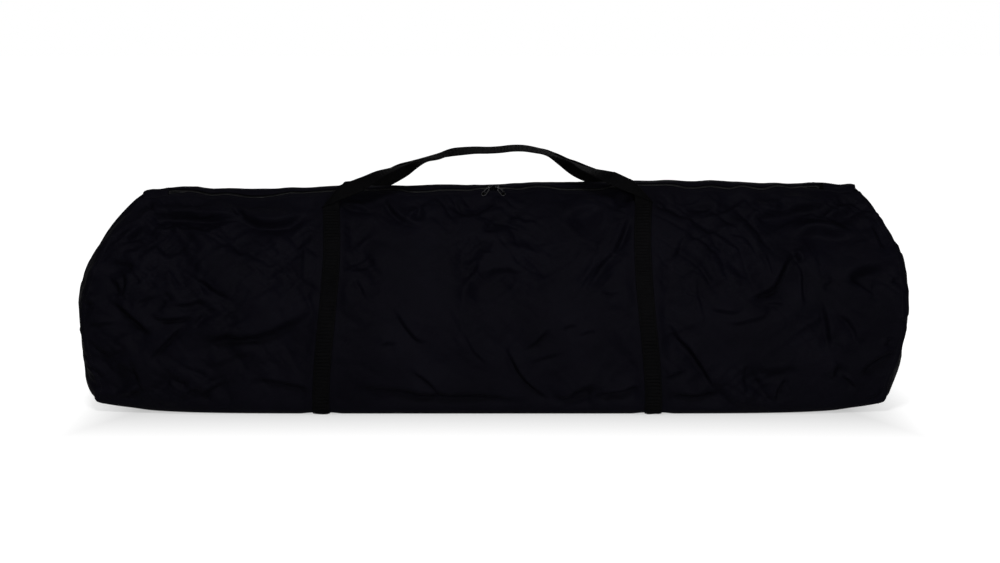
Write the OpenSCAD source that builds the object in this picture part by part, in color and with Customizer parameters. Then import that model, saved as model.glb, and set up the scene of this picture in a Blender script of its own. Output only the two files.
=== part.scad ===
// Roundnet set packed in its long zipped carry bag.
// Millimetres, +Z up, +X along the bag, the front of the bag faces -Y.
// Origin: on the ground, under the middle of the bag.

/* [Bag shape] */
// Length between the end seams where the bag is longest
seam_len = 1224; // [1200:2:1250]
// Length between the end seams at the zip
ridge_len = 1086; // [1076:2:1100]
// Length between the end seams at the bottom
base_len = 1156; // [1140:2:1170]
// How far each end panel bulges past its seam
end_bulge = 22; // [15:1:30]
// Height of the ridge above the ground
ridge_h = 335; // [325:1:350]
// How much higher the ridge is at the right end than at the left
ridge_rise = 8; // [0:1:12]
// Depth of the bag from front to back at its middle
bag_depth = 248; // [240:1:260]
// Depth of the bag at its end seams
end_depth = 208; // [200:1:216]
// Height at which the bag is deepest
deep_h = 115; // [105:1:125]
// Height at which the bag is longest
long_h = 150; // [130:1:170]
// Width of the flat floor of the bag
floor_w = 180; // [174:1:190]
// How far the floor lifts at the end seams
end_lift = 12; // [4:1:14]
// Thickness of the bag's cloth with its lining
cloth_t = 1.5; // [1:0.1:2]

/* [Webbing] */
// Width of the webbing
web_w = 25; // [20:1:30]
// Thickness of the webbing
web_t = 1.6; // [1.2:0.1:2]
// Distance between the two straps where the handles leave them
strap_span = 472; // [440:2:500]
// Distance between the two straps where they are closest
strap_waist_span = 462; // [440:2:500]
// Distance between the two straps at the bottom
strap_foot_span = 496; // [460:2:510]
// How far the straps and handles sit to the right of the bag's middle (negative: left)
strap_shift = -9; // [-12:1:12]
// Height of the handles' feet above the ground
handle_foot_h = 306; // [300:1:310]
// Height of the handles' tops above the ground
handle_top_h = 394; // [390:1:410]
// Angle at which the webbing's outer edges hang down where the handles meet
handle_top_lean = 20; // [0:1:30]

/* [Zip] */
// Width of the slit that the zip closes
slit_w = 14; // [13:0.5:16]
// Distance of the zip's middle in front of the ridge
zip_front = 9; // [8:0.5:10]
// Distance of the zip's middle below the ridge
zip_below = 5; // [4:0.5:6]
// Angle at which the zip faces forward
zip_tilt = 35; // [30:1:40]
// Length of the toothed chain
chain_len = 996; // [960:2:1000]
// Spacing of the teeth
tooth_pitch = 3.2; // [3:0.1:4]
// Thickness of the teeth
tooth_t = 2.2; // [1.8:0.1:2.4]
// Width of one row of teeth, with its cord
tooth_row_w = 3; // [2.6:0.1:3.2]
// Width of each zip tape beyond its teeth
tape_w = 13; // [11:0.5:14]
// Thickness of the zip tape
tape_t = 0.8; // [0.6:0.1:1]
// How far the tabs over the zip's ends reach down the cloth
tab_lap = 14; // [10:1:16]

/* [Sliders and pulls] */
// Length of a slider
slider_len = 11; // [10:0.5:12]
// Thickness of a slider's plates
plate_t = 1.2; // [1:0.1:1.4]
// Thickness of the wedge that joins the plates
wedge_w = 1.6; // [1.4:0.1:2]
// Radius of the bail's bar
bail_r = 0.8; // [0.7:0.05:1]
// Height of the bail's bar above the slider's top plate
bail_h = 3; // [2.8:0.1:3.4]
// Length of a pull from the bail's bar to its tip
pull_len = 21; // [18:0.5:23]
// Width of a pull
pull_w = 7; // [6:0.5:8]
// Thickness of a pull
pull_t = 1.2; // [1:0.1:1.4]
// Angle by which a pull's tip leans outward
pull_splay = 31; // [20:1:38]
// Angle between a hanging pull and the zip's plane
pull_drop = 9; // [7:0.5:10]
// How far each slider travels from the middle
slider_travel = 480; // [420:5:480]

/* [Rim tubes] */
// Diameter of the assembled rim, centre line to centre line
rim_d = 914; // [900:2:930]
// Outer diameter of the rim tube
tube_d = 25; // [22:0.5:26]
// Wall of the rim tube
tube_wall = 1.5; // [1.2:0.1:2]
// Length of the spigot that enters the next tube
spigot_len = 40; // [30:1:42]

/* [Legs] */
// Height of a leg from its foot to the top of its sleeve
leg_h = 203; // [195:1:204]
// Length of the sleeve that holds two tubes
sleeve_len = 90; // [80:1:92]
// Wall of the sleeve
sleeve_wall = 3.8; // [3.2:0.1:4]
// Diameter of the strut at its waist
waist_d = 19; // [17:0.5:22]
// Height of the rubber foot
foot_h = 22; // [18:1:26]
// Wall of the rubber foot
foot_wall = 2.4; // [2:0.1:3]

/* [Net] */
// Length of the folded net
net_len = 380; // [340:5:400]
// Width of the folded net
net_w = 120; // [100:5:130]
// Thickness of one folded layer
net_layer = 4; // [3:0.5:5]
// Thickness of a hook's wire
hook_wire = 2.4; // [2:0.1:3]

/* [Balls] */
// Diameter of a ball
ball_d = 97; // [90:1:97]
// Wall of a ball
ball_wall = 2; // [1.5:0.1:3]

/* [Clearances] */
// Gap between soft pieces that lie on each other
lay_gap = 0.3; // [0.2:0.05:0.4]
// Gap round pieces that slide or turn
run_gap = 0.3; // [0.25:0.05:0.35]
// Gap between packed pieces that rest on each other
pack_gap = 0.3; // [0.2:0.05:0.4]

/* [Hidden] */
$fn = 48;

cloth_col = [0.05, 0.05, 0.07];
web_col = [0.13, 0.13, 0.14];
tape_col = [0.08, 0.08, 0.10];
coil_col = [0.55, 0.55, 0.57];
enamel_col = [0.10, 0.10, 0.11];
steel_col = [0.75, 0.76, 0.78];
yellow_col = [0.90, 0.78, 0.12];
leg_col = [0.16, 0.16, 0.17];
rubber_col = [0.08, 0.08, 0.08];
net_col = [0.20, 0.20, 0.22];

// ---- Bag skin -----------------------------------------------------------
base_z = web_t + lay_gap;
ridge_tilt = atan(ridge_rise / ridge_len);
end_curve_top = 2.2;
end_curve_low = 2;
narrow_power = 5;
lift_power = 30;

// The slit's two edges, as [y, z] on the outer skin
slit_mid = [-zip_front, ridge_h - zip_below];
slit_dir = [cos(zip_tilt), sin(zip_tilt)];
front_edge = slit_mid - slit_w / 2 * slit_dir;
rear_edge = slit_mid + slit_w / 2 * slit_dir;

// Control points of the skin's four curved stretches
deep_y = bag_depth / 2;
front_fall = [-55, -38];
rear_fall = [34, -3];
front_shoulder = 120;
rear_shoulder = 110;
low_share = 0.4;
low_tuck = 6;
ridge = [0, ridge_h];
front_top = [
  front_edge, ridge + front_fall, [-deep_y, ridge_h - front_shoulder], [-deep_y, deep_h]
];
rear_top = [
  rear_edge, ridge + rear_fall, [deep_y, ridge_h - rear_shoulder], [deep_y, deep_h]
];
front_low = [
  [-deep_y, deep_h], [-deep_y, deep_h * low_share], [-deep_y + low_tuck, base_z],
  [-floor_w / 2, base_z]
];
rear_low = [for (p = front_low) [-p[0], p[1]]];

foot_steps = 3;
side_steps = 8;
low_steps = 6;
floor_steps = 4;

function curve(p, t) =
  pow(1 - t, 3) * p[0] + 3 * pow(1 - t, 2) * t * p[1]
  + 3 * (1 - t) * t * t * p[2] + pow(t, 3) * p[3];

// The share of a top curve at which it has come down to height z
function share_at(p, z, lo = 0, hi = 1, tries = 18) =
  let (m = (lo + hi) / 2)
  tries == 0 ? m
  : curve(p, m)[1] > z ? share_at(p, z, m, hi, tries - 1)
  : share_at(p, z, lo, m, tries - 1);

// Shares of a top curve: a few steps to the handle's foot, then the rest of the way down
function top_shares(p) =
  let (foot = share_at(p, handle_foot_h))
  concat(
    [for (i = [0:foot_steps - 1]) foot * i / foot_steps],
    [for (i = [0:side_steps - 1]) foot + (1 - foot) * i / side_steps]
  );
front_shares = top_shares(front_top);
rear_shares = top_shares(rear_top);
top_steps = foot_steps + side_steps;

// The skin's section from the front slit edge, under the floor, to the rear slit edge
profile = concat(
  [for (t = front_shares) curve(front_top, t)],
  [for (i = [0:low_steps - 1]) curve(front_low, i / low_steps)],
  [for (i = [0:floor_steps - 1]) [-floor_w / 2 + floor_w * i / floor_steps, base_z]],
  [for (i = [low_steps:-1:0]) curve(rear_low, i / low_steps)],
  [for (i = [top_steps - 1:-1:0]) curve(rear_top, rear_shares[i])]
);
last = len(profile) - 1;

// How far a cut runs past the face it starts from
past = 1;

function unit(v) = v / norm(v);
function clamp01(t) = min(1, max(0, t));
function ease(t) = clamp01(t) * clamp01(t) * (3 - 2 * clamp01(t));
function mix(a, b, t) = a * (1 - t) + b * t;

// Inward normal of the section at its point j
function inward(j) =
  let (d = unit(profile[min(last, j + 1)] - profile[max(0, j - 1)]))
  [-d[1], d[0]];

// Half the distance between the end seams at height z
function half_len(z) =
  z > long_h
  ? mix(seam_len, ridge_len, pow(min(1, (z - long_h) / (ridge_h - long_h)), end_curve_top)) / 2
  : mix(seam_len, base_len, pow((long_h - z) / long_h, end_curve_low)) / 2;

// A point of the skin: x along the bag at share u of its half length, section point p
function place(x, u, p) =
  let (
    narrow = (1 - end_depth / bag_depth) * pow(abs(u), narrow_power) * pow(p[0] / deep_y, 2),
    lift = end_lift * pow(abs(u), lift_power) * pow(max(0, 1 - p[1] / ridge_h), 2),
    rise = ridge_rise * x / ridge_len * p[1] / ridge_h
  )
  [x, p[0] * (1 - narrow), p[1] + lift + rise];

// Skin point j at the share u of the half length, moved inward by off
function skin(u, j, off) =
  place(u * half_len(profile[j][1]), u, profile[j] + off * inward(j));

// Skin point j at the distance x from the middle, moved inward by off
function skin_at(x, j, off) =
  place(x, x / half_len(profile[j][1]), profile[j] + off * inward(j));

function quad(a, b, c, d) = [[a, c, b], [a, d, c]];

// A closed solid between two equal grids of points
module sheet(outer, inner) {
  rows = len(outer);
  cols = len(outer[0]);
  count = rows * cols;
  function at(s, i, j) = s * count + i * cols + j;
  faces = [
    for (i = [0:rows - 2], j = [0:cols - 2])
      each quad(at(0, i, j), at(0, i + 1, j), at(0, i + 1, j + 1), at(0, i, j + 1)),
    for (i = [0:rows - 2], j = [0:cols - 2])
      each quad(at(1, i, j), at(1, i, j + 1), at(1, i + 1, j + 1), at(1, i + 1, j)),
    for (i = [0:rows - 2])
      each quad(at(0, i, 0), at(1, i, 0), at(1, i + 1, 0), at(0, i + 1, 0)),
    for (i = [0:rows - 2])
      each quad(at(0, i, cols - 1), at(0, i + 1, cols - 1),
                at(1, i + 1, cols - 1), at(1, i, cols - 1)),
    for (j = [0:cols - 2])
      each quad(at(0, 0, j), at(0, 0, j + 1), at(1, 0, j + 1), at(1, 0, j)),
    for (j = [0:cols - 2])
      each quad(at(0, rows - 1, j), at(1, rows - 1, j),
                at(1, rows - 1, j + 1), at(0, rows - 1, j + 1))
  ];
  points = [for (grid = [outer, inner], row = grid) each row];
  polyhedron(points, faces, convexity = 6);
}

// The seam bindings lie between these shares of the half length
binding_w = 10;
binding_t = 1;
binding_back = 1;
binding_end = 1 - 2 * (cloth_t + binding_back) / seam_len;
binding_start = binding_end - 2 * binding_w / seam_len;

// Stations along the bag, closer together towards the ends
half_stations = 9;
station_power = 0.6;
half_shares = concat(
  [for (i = [1:half_stations - 1]) pow(i / half_stations, station_power)],
  [binding_start, binding_end, 1]
);
stations = concat(
  [for (i = [len(half_shares) - 1:-1:0]) -half_shares[i]],
  [0],
  half_shares
);

module body_panel() {
  color(cloth_col)
  sheet(
    [for (u = stations) [for (j = [0:last]) skin(u, j, 0)]],
    [for (u = stations) [for (j = [0:last]) skin(u, j, cloth_t)]]
  );
}

// ---- End panels and their bindings --------------------------------------
seat_in = cloth_t + lay_gap;
dome_rings = [1, 0.86, 0.66, 0.4, 0.15];

// A point of an end panel: share r of the way from its middle to its rim at point j
function dome(s, r, j, thin) =
  let (
    rim = skin(s, j, seat_in),
    tip = s * (seam_len / 2 + end_bulge)
  )
  [mix(tip, rim[0], r * r) - s * thin, rim[1] * r, mix(long_h, rim[2], r)];

// s is 1 at the right end and -1 at the left end
module end_panel(s) {
  cols = last + 1;
  layers = len(dome_rings);
  count = layers * cols + 1;
  function at(k, i, j) = k * count + i * cols + j % cols;
  points = [
    for (k = [0, 1]) each concat(
      [for (r = dome_rings, j = [0:last]) dome(s, r, j, k * cloth_t)],
      [dome(s, 0, 0, k * cloth_t)]
    )
  ];
  faces = [
    for (i = [0:layers - 2], j = [0:last])
      each quad(at(0, i, j), at(0, i + 1, j), at(0, i + 1, j + 1), at(0, i, j + 1)),
    for (i = [0:layers - 2], j = [0:last])
      each quad(at(1, i, j), at(1, i, j + 1), at(1, i + 1, j + 1), at(1, i + 1, j)),
    for (j = [0:last]) [at(0, layers - 1, j), at(0, layers - 1, j + 1), count - 1],
    for (j = [0:last]) [at(1, layers - 1, j + 1), at(1, layers - 1, j), 2 * count - 1],
    for (j = [0:last])
      each quad(at(0, 0, j), at(0, 0, j + 1), at(1, 0, j + 1), at(1, 0, j))
  ];
  turned = [for (f = faces) s > 0 ? f : [f[2], f[1], f[0]]];
  color(cloth_col) polyhedron(points, turned, convexity = 4);
}

module seam_binding(s) {
  rows = s > 0 ? [binding_start, binding_end] : [-binding_end, -binding_start];
  skip = foot_steps - 1;
  color(web_col)
  sheet(
    [for (u = rows) [for (j = [skip:last - skip]) skin(u, j, seat_in)]],
    [for (u = rows) [for (j = [skip:last - skip]) skin(u, j, seat_in + binding_t)]]
  );
}

// ---- Straps ---------------------------------------------------------------
// Share of the handles' height at which the straps are closest
strap_waist = 0.77;
// Half the distance between the straps at height z
function strap_x(z) =
  let (h = z / handle_foot_h)
  h < strap_waist
  ? mix(strap_foot_span, strap_waist_span, ease(h / strap_waist)) / 2
  : mix(strap_waist_span, strap_span, pow(clamp01((h - strap_waist) / (1 - strap_waist)), 2)) / 2;

module strap(s) {
  rows = [-web_w / 2, 0, web_w / 2];
  function along(off) = [
    for (dx = rows) [
      for (j = [foot_steps:last - foot_steps])
        skin_at(strap_shift + s * strap_x(profile[j][1]) + dx, j, off)
    ]
  ];
  color(web_col) sheet(along(-lay_gap - web_t), along(-lay_gap));
}

// ---- Handles --------------------------------------------------------------
handle_half_steps = 20;
// Angle of a handle's hinge line, which follows the ridge's rise
hinge_tilt = atan(ridge_rise / ridge_len * handle_foot_h / ridge_h);
// From the strap's end up to the hinge line, and from the skin out to it:
// a handle's foot folds over the outside of its strap
foot_up = -1;
foot_out = lay_gap + web_t + run_gap + web_t / 2;

// Hinge line of a handle as [y, z]; j is the section point where its strap ends
function hinge_at(j) =
  let (
    n = inward(j),
    up = n[0] > 0 ? [-n[1], n[0]] : [n[1], -n[0]]
  )
  profile[j] - foot_out * n + foot_up * up;
front_hinge = hinge_at(foot_steps);
rear_hinge = hinge_at(last - foot_steps);

// From the webbing's middle to its inner edge at the top: sideways and up
top_y = web_w / 2 * cos(handle_top_lean) + web_t / 2 * sin(handle_top_lean) + lay_gap;
top_up = web_w / 2 * sin(handle_top_lean) + web_t / 2 * cos(handle_top_lean);
// How a handle leaves its foot: inward along the bag, towards the other handle, and up
leave_in = 41;
leave_share = 0.62;
leave_up = 52;
// Half the length of a handle's level top, as a share of the distance between the straps
level_share = 0.22;
// Control points of half a handle: [x, y, z], y outward from the bag's middle
function handle_points(hinge) = [
  [strap_span / 2, abs(hinge[0]), hinge[1]],
  [strap_span / 2 - leave_in, mix(abs(hinge[0]), top_y, leave_share), hinge[1] + leave_up],
  [strap_span * level_share, top_y, handle_top_h - top_up],
  [0, top_y, handle_top_h - top_up]
];

// Middle of the webbing at s, from -1 at the left foot to 1 at the right foot
function handle_mid(p, s) =
  let (c = curve(p, 1 - abs(s)))
  [sign(s) * c[0], -c[1], c[2]];
dir_step = 0.01;
function handle_dir(p, s) =
  unit(handle_mid(p, min(1, s + dir_step)) - handle_mid(p, max(-1, s - dir_step)));

// The webbing's face turns up from this angle at a foot, and turns no more past this share
foot_lean = 45;
turned_from = 0.5;
// The stretch at a foot over which the webbing turns from its hinge line into its run
twist_share = 0.1;
// Direction across the webbing: level at a foot, then square to its run
function handle_across(p, s) =
  let (
    rise = 1 - abs(s),
    lean = mix(foot_lean, 90 - handle_top_lean, ease(rise / turned_from)),
    run = handle_dir(p, s),
    square = unit(cross(run, [0, -cos(lean), sin(lean)]))
  )
  unit(mix([s < 0 ? 1 : -1, 0, 0], square, ease(rise / twist_share)));

module handle(hinge) {
  p = handle_points(hinge);
  shares = [for (i = [-handle_half_steps:handle_half_steps]) i / handle_half_steps];
  function face(side) = [
    for (s = shares)
      let (
        mid = handle_mid(p, s),
        across = handle_across(p, s),
        out = unit(cross(across, handle_dir(p, s)))
      )
      [for (w = [-1, 1]) mid + w * web_w / 2 * across + side * web_t / 2 * out]
  ];
  color(web_col)
  translate([0, 0, handle_foot_h])
    rotate([0, -hinge_tilt, 0])
      translate([strap_shift, 0, -handle_foot_h])
        sheet(face(1), face(-1));
}

module handle_front() handle(front_hinge);
module handle_rear() mirror([0, 1, 0]) handle(rear_hinge);

// ---- Zip ------------------------------------------------------------------
// From the zip's middle to the inner edge of each row of teeth
row_in = wedge_w / 2 + run_gap;
row_out = row_in + tooth_row_w;
cord_w = 0.9;
flange_w = 0.8;
slider_half_w = row_out + run_gap + flange_w;
tape_slack = 0.2;
tape_seat = seat_in + tape_slack;
// From a tape's end to the bag's end seam, at the zip
tape_end = 7;
tape_half_len = ridge_len / 2 - tape_end;
// How far inside the slit's edge a tape has turned to lie along the cloth
tape_turn = 2.5;
slit_normal = [-slit_dir[1], slit_dir[0]];
zip_mid = slit_mid - (tape_seat + tape_t / 2) * slit_normal;

// Turns about the middle of the zip, so that it follows the ridge's rise
module on_ridge() {
  translate([0, 0, zip_mid[1]])
    rotate([0, -ridge_tilt, 0])
      translate([0, 0, -zip_mid[1]])
        children();
}

// The zip's own frame: X along the chain, Z out of it
module in_zip() {
  on_ridge() translate([0, zip_mid[0], zip_mid[1]]) rotate([zip_tilt, 0, 0]) children();
}

// The line p moved to its left by off, with mitred corners
function beside(p, off) = [
  for (i = [0:len(p) - 1])
    let (
      before = unit(p[max(1, i)] - p[max(1, i) - 1]),
      after = unit(p[min(len(p) - 1, i + 1)] - p[min(len(p) - 1, i + 1) - 1]),
      both = before + after
    )
    p[i] + off * 2 * [-both[1], both[0]] / (both * both)
];

// A tape lies flat beside its teeth and then follows the cloth; s is -1 in front, 1 behind
module zip_tape(s) {
  near = s < 0 ? 0 : last;
  flat_end = slider_half_w + tape_slack;
  under_cloth = tape_w - (slit_w / 2 - row_out);
  function seated(k) = profile[near - s * k] + (tape_seat + tape_t / 2) * inward(near - s * k);
  a = seated(0);
  b = seated(1);
  c = seated(2);
  rest = under_cloth - norm(b - a);
  middle = concat(
    [zip_mid + s * row_out * slit_dir, zip_mid + s * flat_end * slit_dir],
    [a + tape_turn * unit(b - a)],
    rest > 1 ? [b, b + rest * unit(c - b)] : [a + under_cloth * unit(b - a)]
  );
  upper = beside(middle, tape_t / 2);
  lower = beside(middle, -tape_t / 2);
  outline = concat(upper, [for (i = [len(lower) - 1:-1:0]) lower[i]]);
  color(tape_col)
  on_ridge()
    rotate([90, 0, 90])
      linear_extrude(2 * tape_half_len, center = true) polygon(outline);
}

// A comb of teeth on its cord; s is -1 in front, 1 behind
module zip_teeth(s) {
  teeth = floor(chain_len / tooth_pitch) - 1;
  start = -teeth * tooth_pitch / 2 + (s < 0 ? 0 : tooth_pitch / 2);
  root = row_out - cord_w;
  edge = [
    for (k = [0:teeth - 1])
      let (x = start + k * tooth_pitch)
      each [[x, root], [x, row_in], [x + tooth_pitch / 2, row_in], [x + tooth_pitch / 2, root]]
  ];
  outline = concat([[-chain_len / 2, row_out]], [[-chain_len / 2, root]], edge,
                   [[chain_len / 2, root]], [[chain_len / 2, row_out]]);
  color(coil_col)
  in_zip()
    linear_extrude(tooth_t, center = true)
      polygon([for (q = outline) [q[0], s * q[1]]]);
}

// A stop clamped over both tapes at one end of the chain
stop_len = 4;
stop_lap = 1.2;
stop_w = 2 * row_out + 2 * stop_lap;
stop_t = tooth_t + plate_t;
module zip_stop(s) {
  color(enamel_col)
  in_zip()
    translate([s * (chain_len / 2 + stop_len / 2 + run_gap), 0, 0])
      difference() {
        cube([stop_len, stop_w, stop_t], center = true);
        for (side = [-1, 1])
          translate([0, side * stop_w / 2, 0])
            cube([stop_len + 2 * past, 2 * (stop_lap + lay_gap), tape_t + 2 * lay_gap], center = true);
      }
}

// A cloth tab that closes the slit past one end of the chain
module zip_tab(s) {
  from = chain_len / 2 + stop_len + 2 * run_gap;
  to = ridge_len / 2 - cloth_t;
  function over(k) = profile[k] - (2 * lay_gap + cloth_t / 2) * inward(k);
  front = over(0);
  rear = over(last);
  middle = [
    front + tab_lap * unit(over(1) - front), front, rear, rear + tab_lap * unit(over(last - 1) - rear)
  ];
  upper = beside(middle, cloth_t / 2);
  lower = beside(middle, -cloth_t / 2);
  outline = concat(upper, [for (i = [len(lower) - 1:-1:0]) lower[i]]);
  color(cloth_col)
  on_ridge()
    translate([s * (from + to) / 2, 0, 0])
      rotate([90, 0, 90])
        linear_extrude(to - from, center = true) polygon(outline);
}

// ---- Sliders and pulls ------------------------------------------------------
plate_in = tooth_t / 2 + run_gap;
plate_out = plate_in + plate_t;
flange_gap = tape_t / 2 + run_gap;
slider_x = slider_len / 2 + run_gap;
bar_z = plate_out + bail_h;
eye_len = 4.4;
eye_wall = 0.8;
eye_play = 0.4;
bail_leg = 1.2;
eye_r = bail_r + run_gap + eye_wall;
wedge_len = 4;
nose_set = 0.5;
corner = 1.4;

// Outline of a plate, with its nose towards -X and its corners cut
module plate_outline() {
  x = slider_len / 2;
  w = slider_half_w;
  polygon([
    [-x, -w + 2 * corner], [-x + corner, -w], [x - corner, -w], [x, -w + corner],
    [x, w - corner], [x - corner, w], [-x + corner, w], [-x, w - 2 * corner]
  ]);
}

module slider_solid() {
  for (side = [-1, 1])
    translate([0, 0, side * (plate_in + plate_t / 2)])
      linear_extrude(plate_t, center = true) plate_outline();
  // Flanges that keep the tapes in the channel
  for (side = [-1, 1], half = [-1, 1])
    translate([0, side * (slider_half_w - flange_w / 2), half * (plate_out + flange_gap) / 2])
      cube([slider_len - 2 * corner, flange_w, plate_out - flange_gap], center = true);
  // Wedge between the plates, at the nose
  translate([-slider_len / 2 + nose_set, 0, 0])
    linear_extrude(2 * plate_in + plate_t, center = true)
      polygon([
        [0, -wedge_w / 4], [wedge_len / 2, -wedge_w / 2], [wedge_len, 0],
        [wedge_len / 2, wedge_w / 2], [0, wedge_w / 4]
      ]);
  // Bail: two legs and the bar that the pull hangs on
  leg_x = eye_len / 2 + eye_play;
  for (side = [-1, 1])
    translate([side * (leg_x + bail_leg / 2), 0, 0]) {
      translate([0, 0, bar_z]) rotate([0, 90, 0]) cylinder(bail_leg, bail_leg, bail_leg, center = true);
      translate([0, 0, (plate_out + bar_z) / 2 - plate_t / 4])
        cube([bail_leg, 2 * bail_leg, bar_z - plate_out + plate_t / 2], center = true);
    }
  translate([0, 0, bar_z])
    rotate([0, 90, 0]) cylinder(2 * leg_x + bail_leg, bail_r, bail_r, center = true);
}

// s is 1 for the right slider and -1 for the left one
module slider(s) {
  color(enamel_col)
  in_zip()
    translate([s * slider_x, 0, 0])
      mirror([s > 0 ? 0 : 1, 0, 0]) slider_solid();
}

neck_w = 2.4;
neck_end = 4.5;
neck_sink = 0.4;
frame_w = 1.6;
frame_start = 3.5;
tip_len = 6;
// A slot with round ends, hanging down from the eye
module stadium(w, from, to) {
  translate([-w / 2, -to + w / 2]) square([w, to - from - w]);
  translate([0, -to + w / 2]) circle(w / 2);
  translate([0, -from - w / 2]) circle(w / 2);
}

module pull(s) {
  eye_edge = eye_r - neck_sink;
  color(enamel_col)
  in_zip()
    translate([s * slider_x, 0, bar_z])
      rotate([pull_drop, 0, 0])
        difference() {
          union() {
            rotate([0, 90, 0]) cylinder(eye_len, eye_r, eye_r, center = true);
            rotate([0, 0, s * pull_splay])
              linear_extrude(pull_t, center = true) {
                translate([-neck_w / 2, -neck_end]) square([neck_w, neck_end - eye_edge]);
                difference() {
                  stadium(pull_w, frame_start, pull_len);
                  stadium(pull_w - 2 * frame_w, frame_start + frame_w, pull_len - tip_len);
                }
              }
          }
          rotate([0, 90, 0])
            cylinder(eye_len + 2 * past, bail_r + run_gap, bail_r + run_gap, center = true);
        }
}

// ---- Rim tubes ----------------------------------------------------------------
floor_z = base_z + cloth_t;
arc_half = 36;
rim_r = rim_d / 2;
tube_r = tube_d / 2;
pack_left = -497;
wall_room = 20;
spigot_angle = spigot_len / rim_r * 180 / PI;
tube_x = pack_left + (rim_r + tube_r) * sin(arc_half);
tube_y = -floor_w / 2 + wall_room;
tube_step = (tube_d + 2 * pack_gap) / cos(arc_half + spigot_angle);
tube_layer = tube_d + pack_gap;
spigot_slack = 0.1;
neck_angle = 0.5;

// A solid arc of round section
module tube_arc(r, from, sweep) {
  rotate([0, 0, from]) rotate_extrude(angle = sweep) translate([rim_r, 0]) circle(r);
}

// A fifth of the rim, bowed towards +Y, with its spigot at the right end
module rim_tube(k) {
  row = k <= 3 ? k - 1 : k - 4;
  layer = k <= 3 ? 0 : 1;
  y = tube_y + row * tube_step - rim_r * cos(arc_half);
  spigot_r = tube_r - tube_wall - spigot_slack;
  start = 90 - arc_half;
  color(steel_col)
  translate([tube_x, y, floor_z + pack_gap + tube_r + layer * tube_layer])
    difference() {
      union() {
        tube_arc(tube_r, start, 2 * arc_half);
        tube_arc(spigot_r, start - spigot_angle, spigot_angle + neck_angle);
      }
      tube_arc(tube_r - tube_wall, start + neck_angle, 2 * arc_half);
      tube_arc(spigot_r - tube_wall, start - spigot_angle - neck_angle, spigot_angle + 3 * neck_angle);
    }
}

// ---- Legs ---------------------------------------------------------------------
socket_play = 0.2;
socket_r = tube_r + socket_play;
socket_web = 2;
sleeve_r = socket_r + sleeve_wall;
bay_room = 2;
leg_bay = tube_x + (rim_r + tube_r) * sin(arc_half + spigot_angle) + bay_room;
leg_y = -35;
leg_layer = 2 * sleeve_r + pack_gap;
foot_play = 0.2;
strut_end = leg_h - sleeve_r - foot_wall - pack_gap;
plug_r = sleeve_r - foot_wall - foot_play;
// Along a strut from the middle of its sleeve: its buried root, the end of its flare,
// its waist, the start of its taper to the foot, and the end of its webs
root_at = 8;
flare_at = 40;
waist_at = 90;
taper_len = 50;
web_end = 60;
web_plate = 5;
strut_wall = 4;
// How much thicker the strut is at its root and at the end of its flare
root_more = 4;
flare_more = 1;
// The plug inside the foot: its chamfer, and its straight end
plug_chamfer = 1;
plug_lip = 2;
// Half the width of the webs at their tips, and their distance from the sleeve's ends
web_tip = 6;
web_short = 6;
// The foot's edges: step and length of its rim, and chamfer of its sole
foot_rim = 0.8;
foot_rim_len = 3;
foot_chamfer = 2;
// Half the angle between the two tubes that meet in a sleeve
socket_bend = sleeve_len / 4 / rim_r * 180 / PI;

// Middle of leg k's sleeve; the legs lie foot to foot, in layers
function leg_place(k) = [
  k % 2 == 1 ? leg_bay + sleeve_r : leg_bay + 2 * leg_h + pack_gap - sleeve_r,
  leg_y,
  floor_z + pack_gap + sleeve_r + floor((k - 1) / 2) * leg_layer
];
module lay_leg(k) {
  translate(leg_place(k)) rotate([0, 0, k % 2 == 1 ? 0 : 180]) children();
}

// Moulded leg: sleeve across Y, hollow tapered strut along +X, two webs at its root
module leg(k) {
  color(leg_col)
  lay_leg(k)
    difference() {
      union() {
        for (side = [-1, 1])
          rotate([side * -90, 0, side * -socket_bend])
            cylinder(sleeve_len / 2, sleeve_r, sleeve_r);
        rotate([0, 90, 0])
          rotate_extrude()
            polygon([
              [0, root_at], [waist_d / 2 + root_more, root_at],
              [waist_d / 2 + flare_more, flare_at], [waist_d / 2, waist_at],
              [waist_d / 2, strut_end - taper_len],
              [plug_r, strut_end - foot_h + plug_lip], [plug_r, strut_end - plug_chamfer],
              [plug_r - plug_chamfer, strut_end], [0, strut_end]
            ]);
        linear_extrude(web_plate, center = true)
          polygon([
            [root_at, web_short - sleeve_len / 2], [root_at, sleeve_len / 2 - web_short],
            [web_end, web_tip], [web_end, -web_tip]
          ]);
      }
      for (side = [-1, 1])
        rotate([side * -90, 0, side * -socket_bend])
          translate([0, 0, socket_web]) cylinder(sleeve_len, socket_r, socket_r);
      translate([web_end, 0, 0])
        rotate([0, 90, 0]) cylinder(leg_h, waist_d / 2 - strut_wall, waist_d / 2 - strut_wall);
    }
}

// Rubber cap over the end of the strut
module leg_foot(k) {
  start = leg_h - sleeve_r - foot_h;
  color(rubber_col)
  lay_leg(k)
    rotate([0, 90, 0])
      rotate_extrude()
        polygon([
          [0, leg_h - sleeve_r], [0, strut_end + pack_gap],
          [plug_r + foot_play, strut_end + pack_gap],
          [plug_r + foot_play, start], [sleeve_r - foot_rim, start],
          [sleeve_r, start + foot_rim_len], [sleeve_r, leg_h - sleeve_r - foot_chamfer],
          [sleeve_r - foot_chamfer, leg_h - sleeve_r]
        ]);
}

// ---- Net ------------------------------------------------------------------------
net_layers = 7;
fold_gap = 0.6;
fold_lap = 0.01;
net_pitch = net_layer + fold_gap;
net_z = floor_z + 2 * tube_layer + pack_gap;
net_front = 18;
net_y = tube_y - net_front;
net_top = net_z + net_layers * net_pitch - fold_gap;

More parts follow.
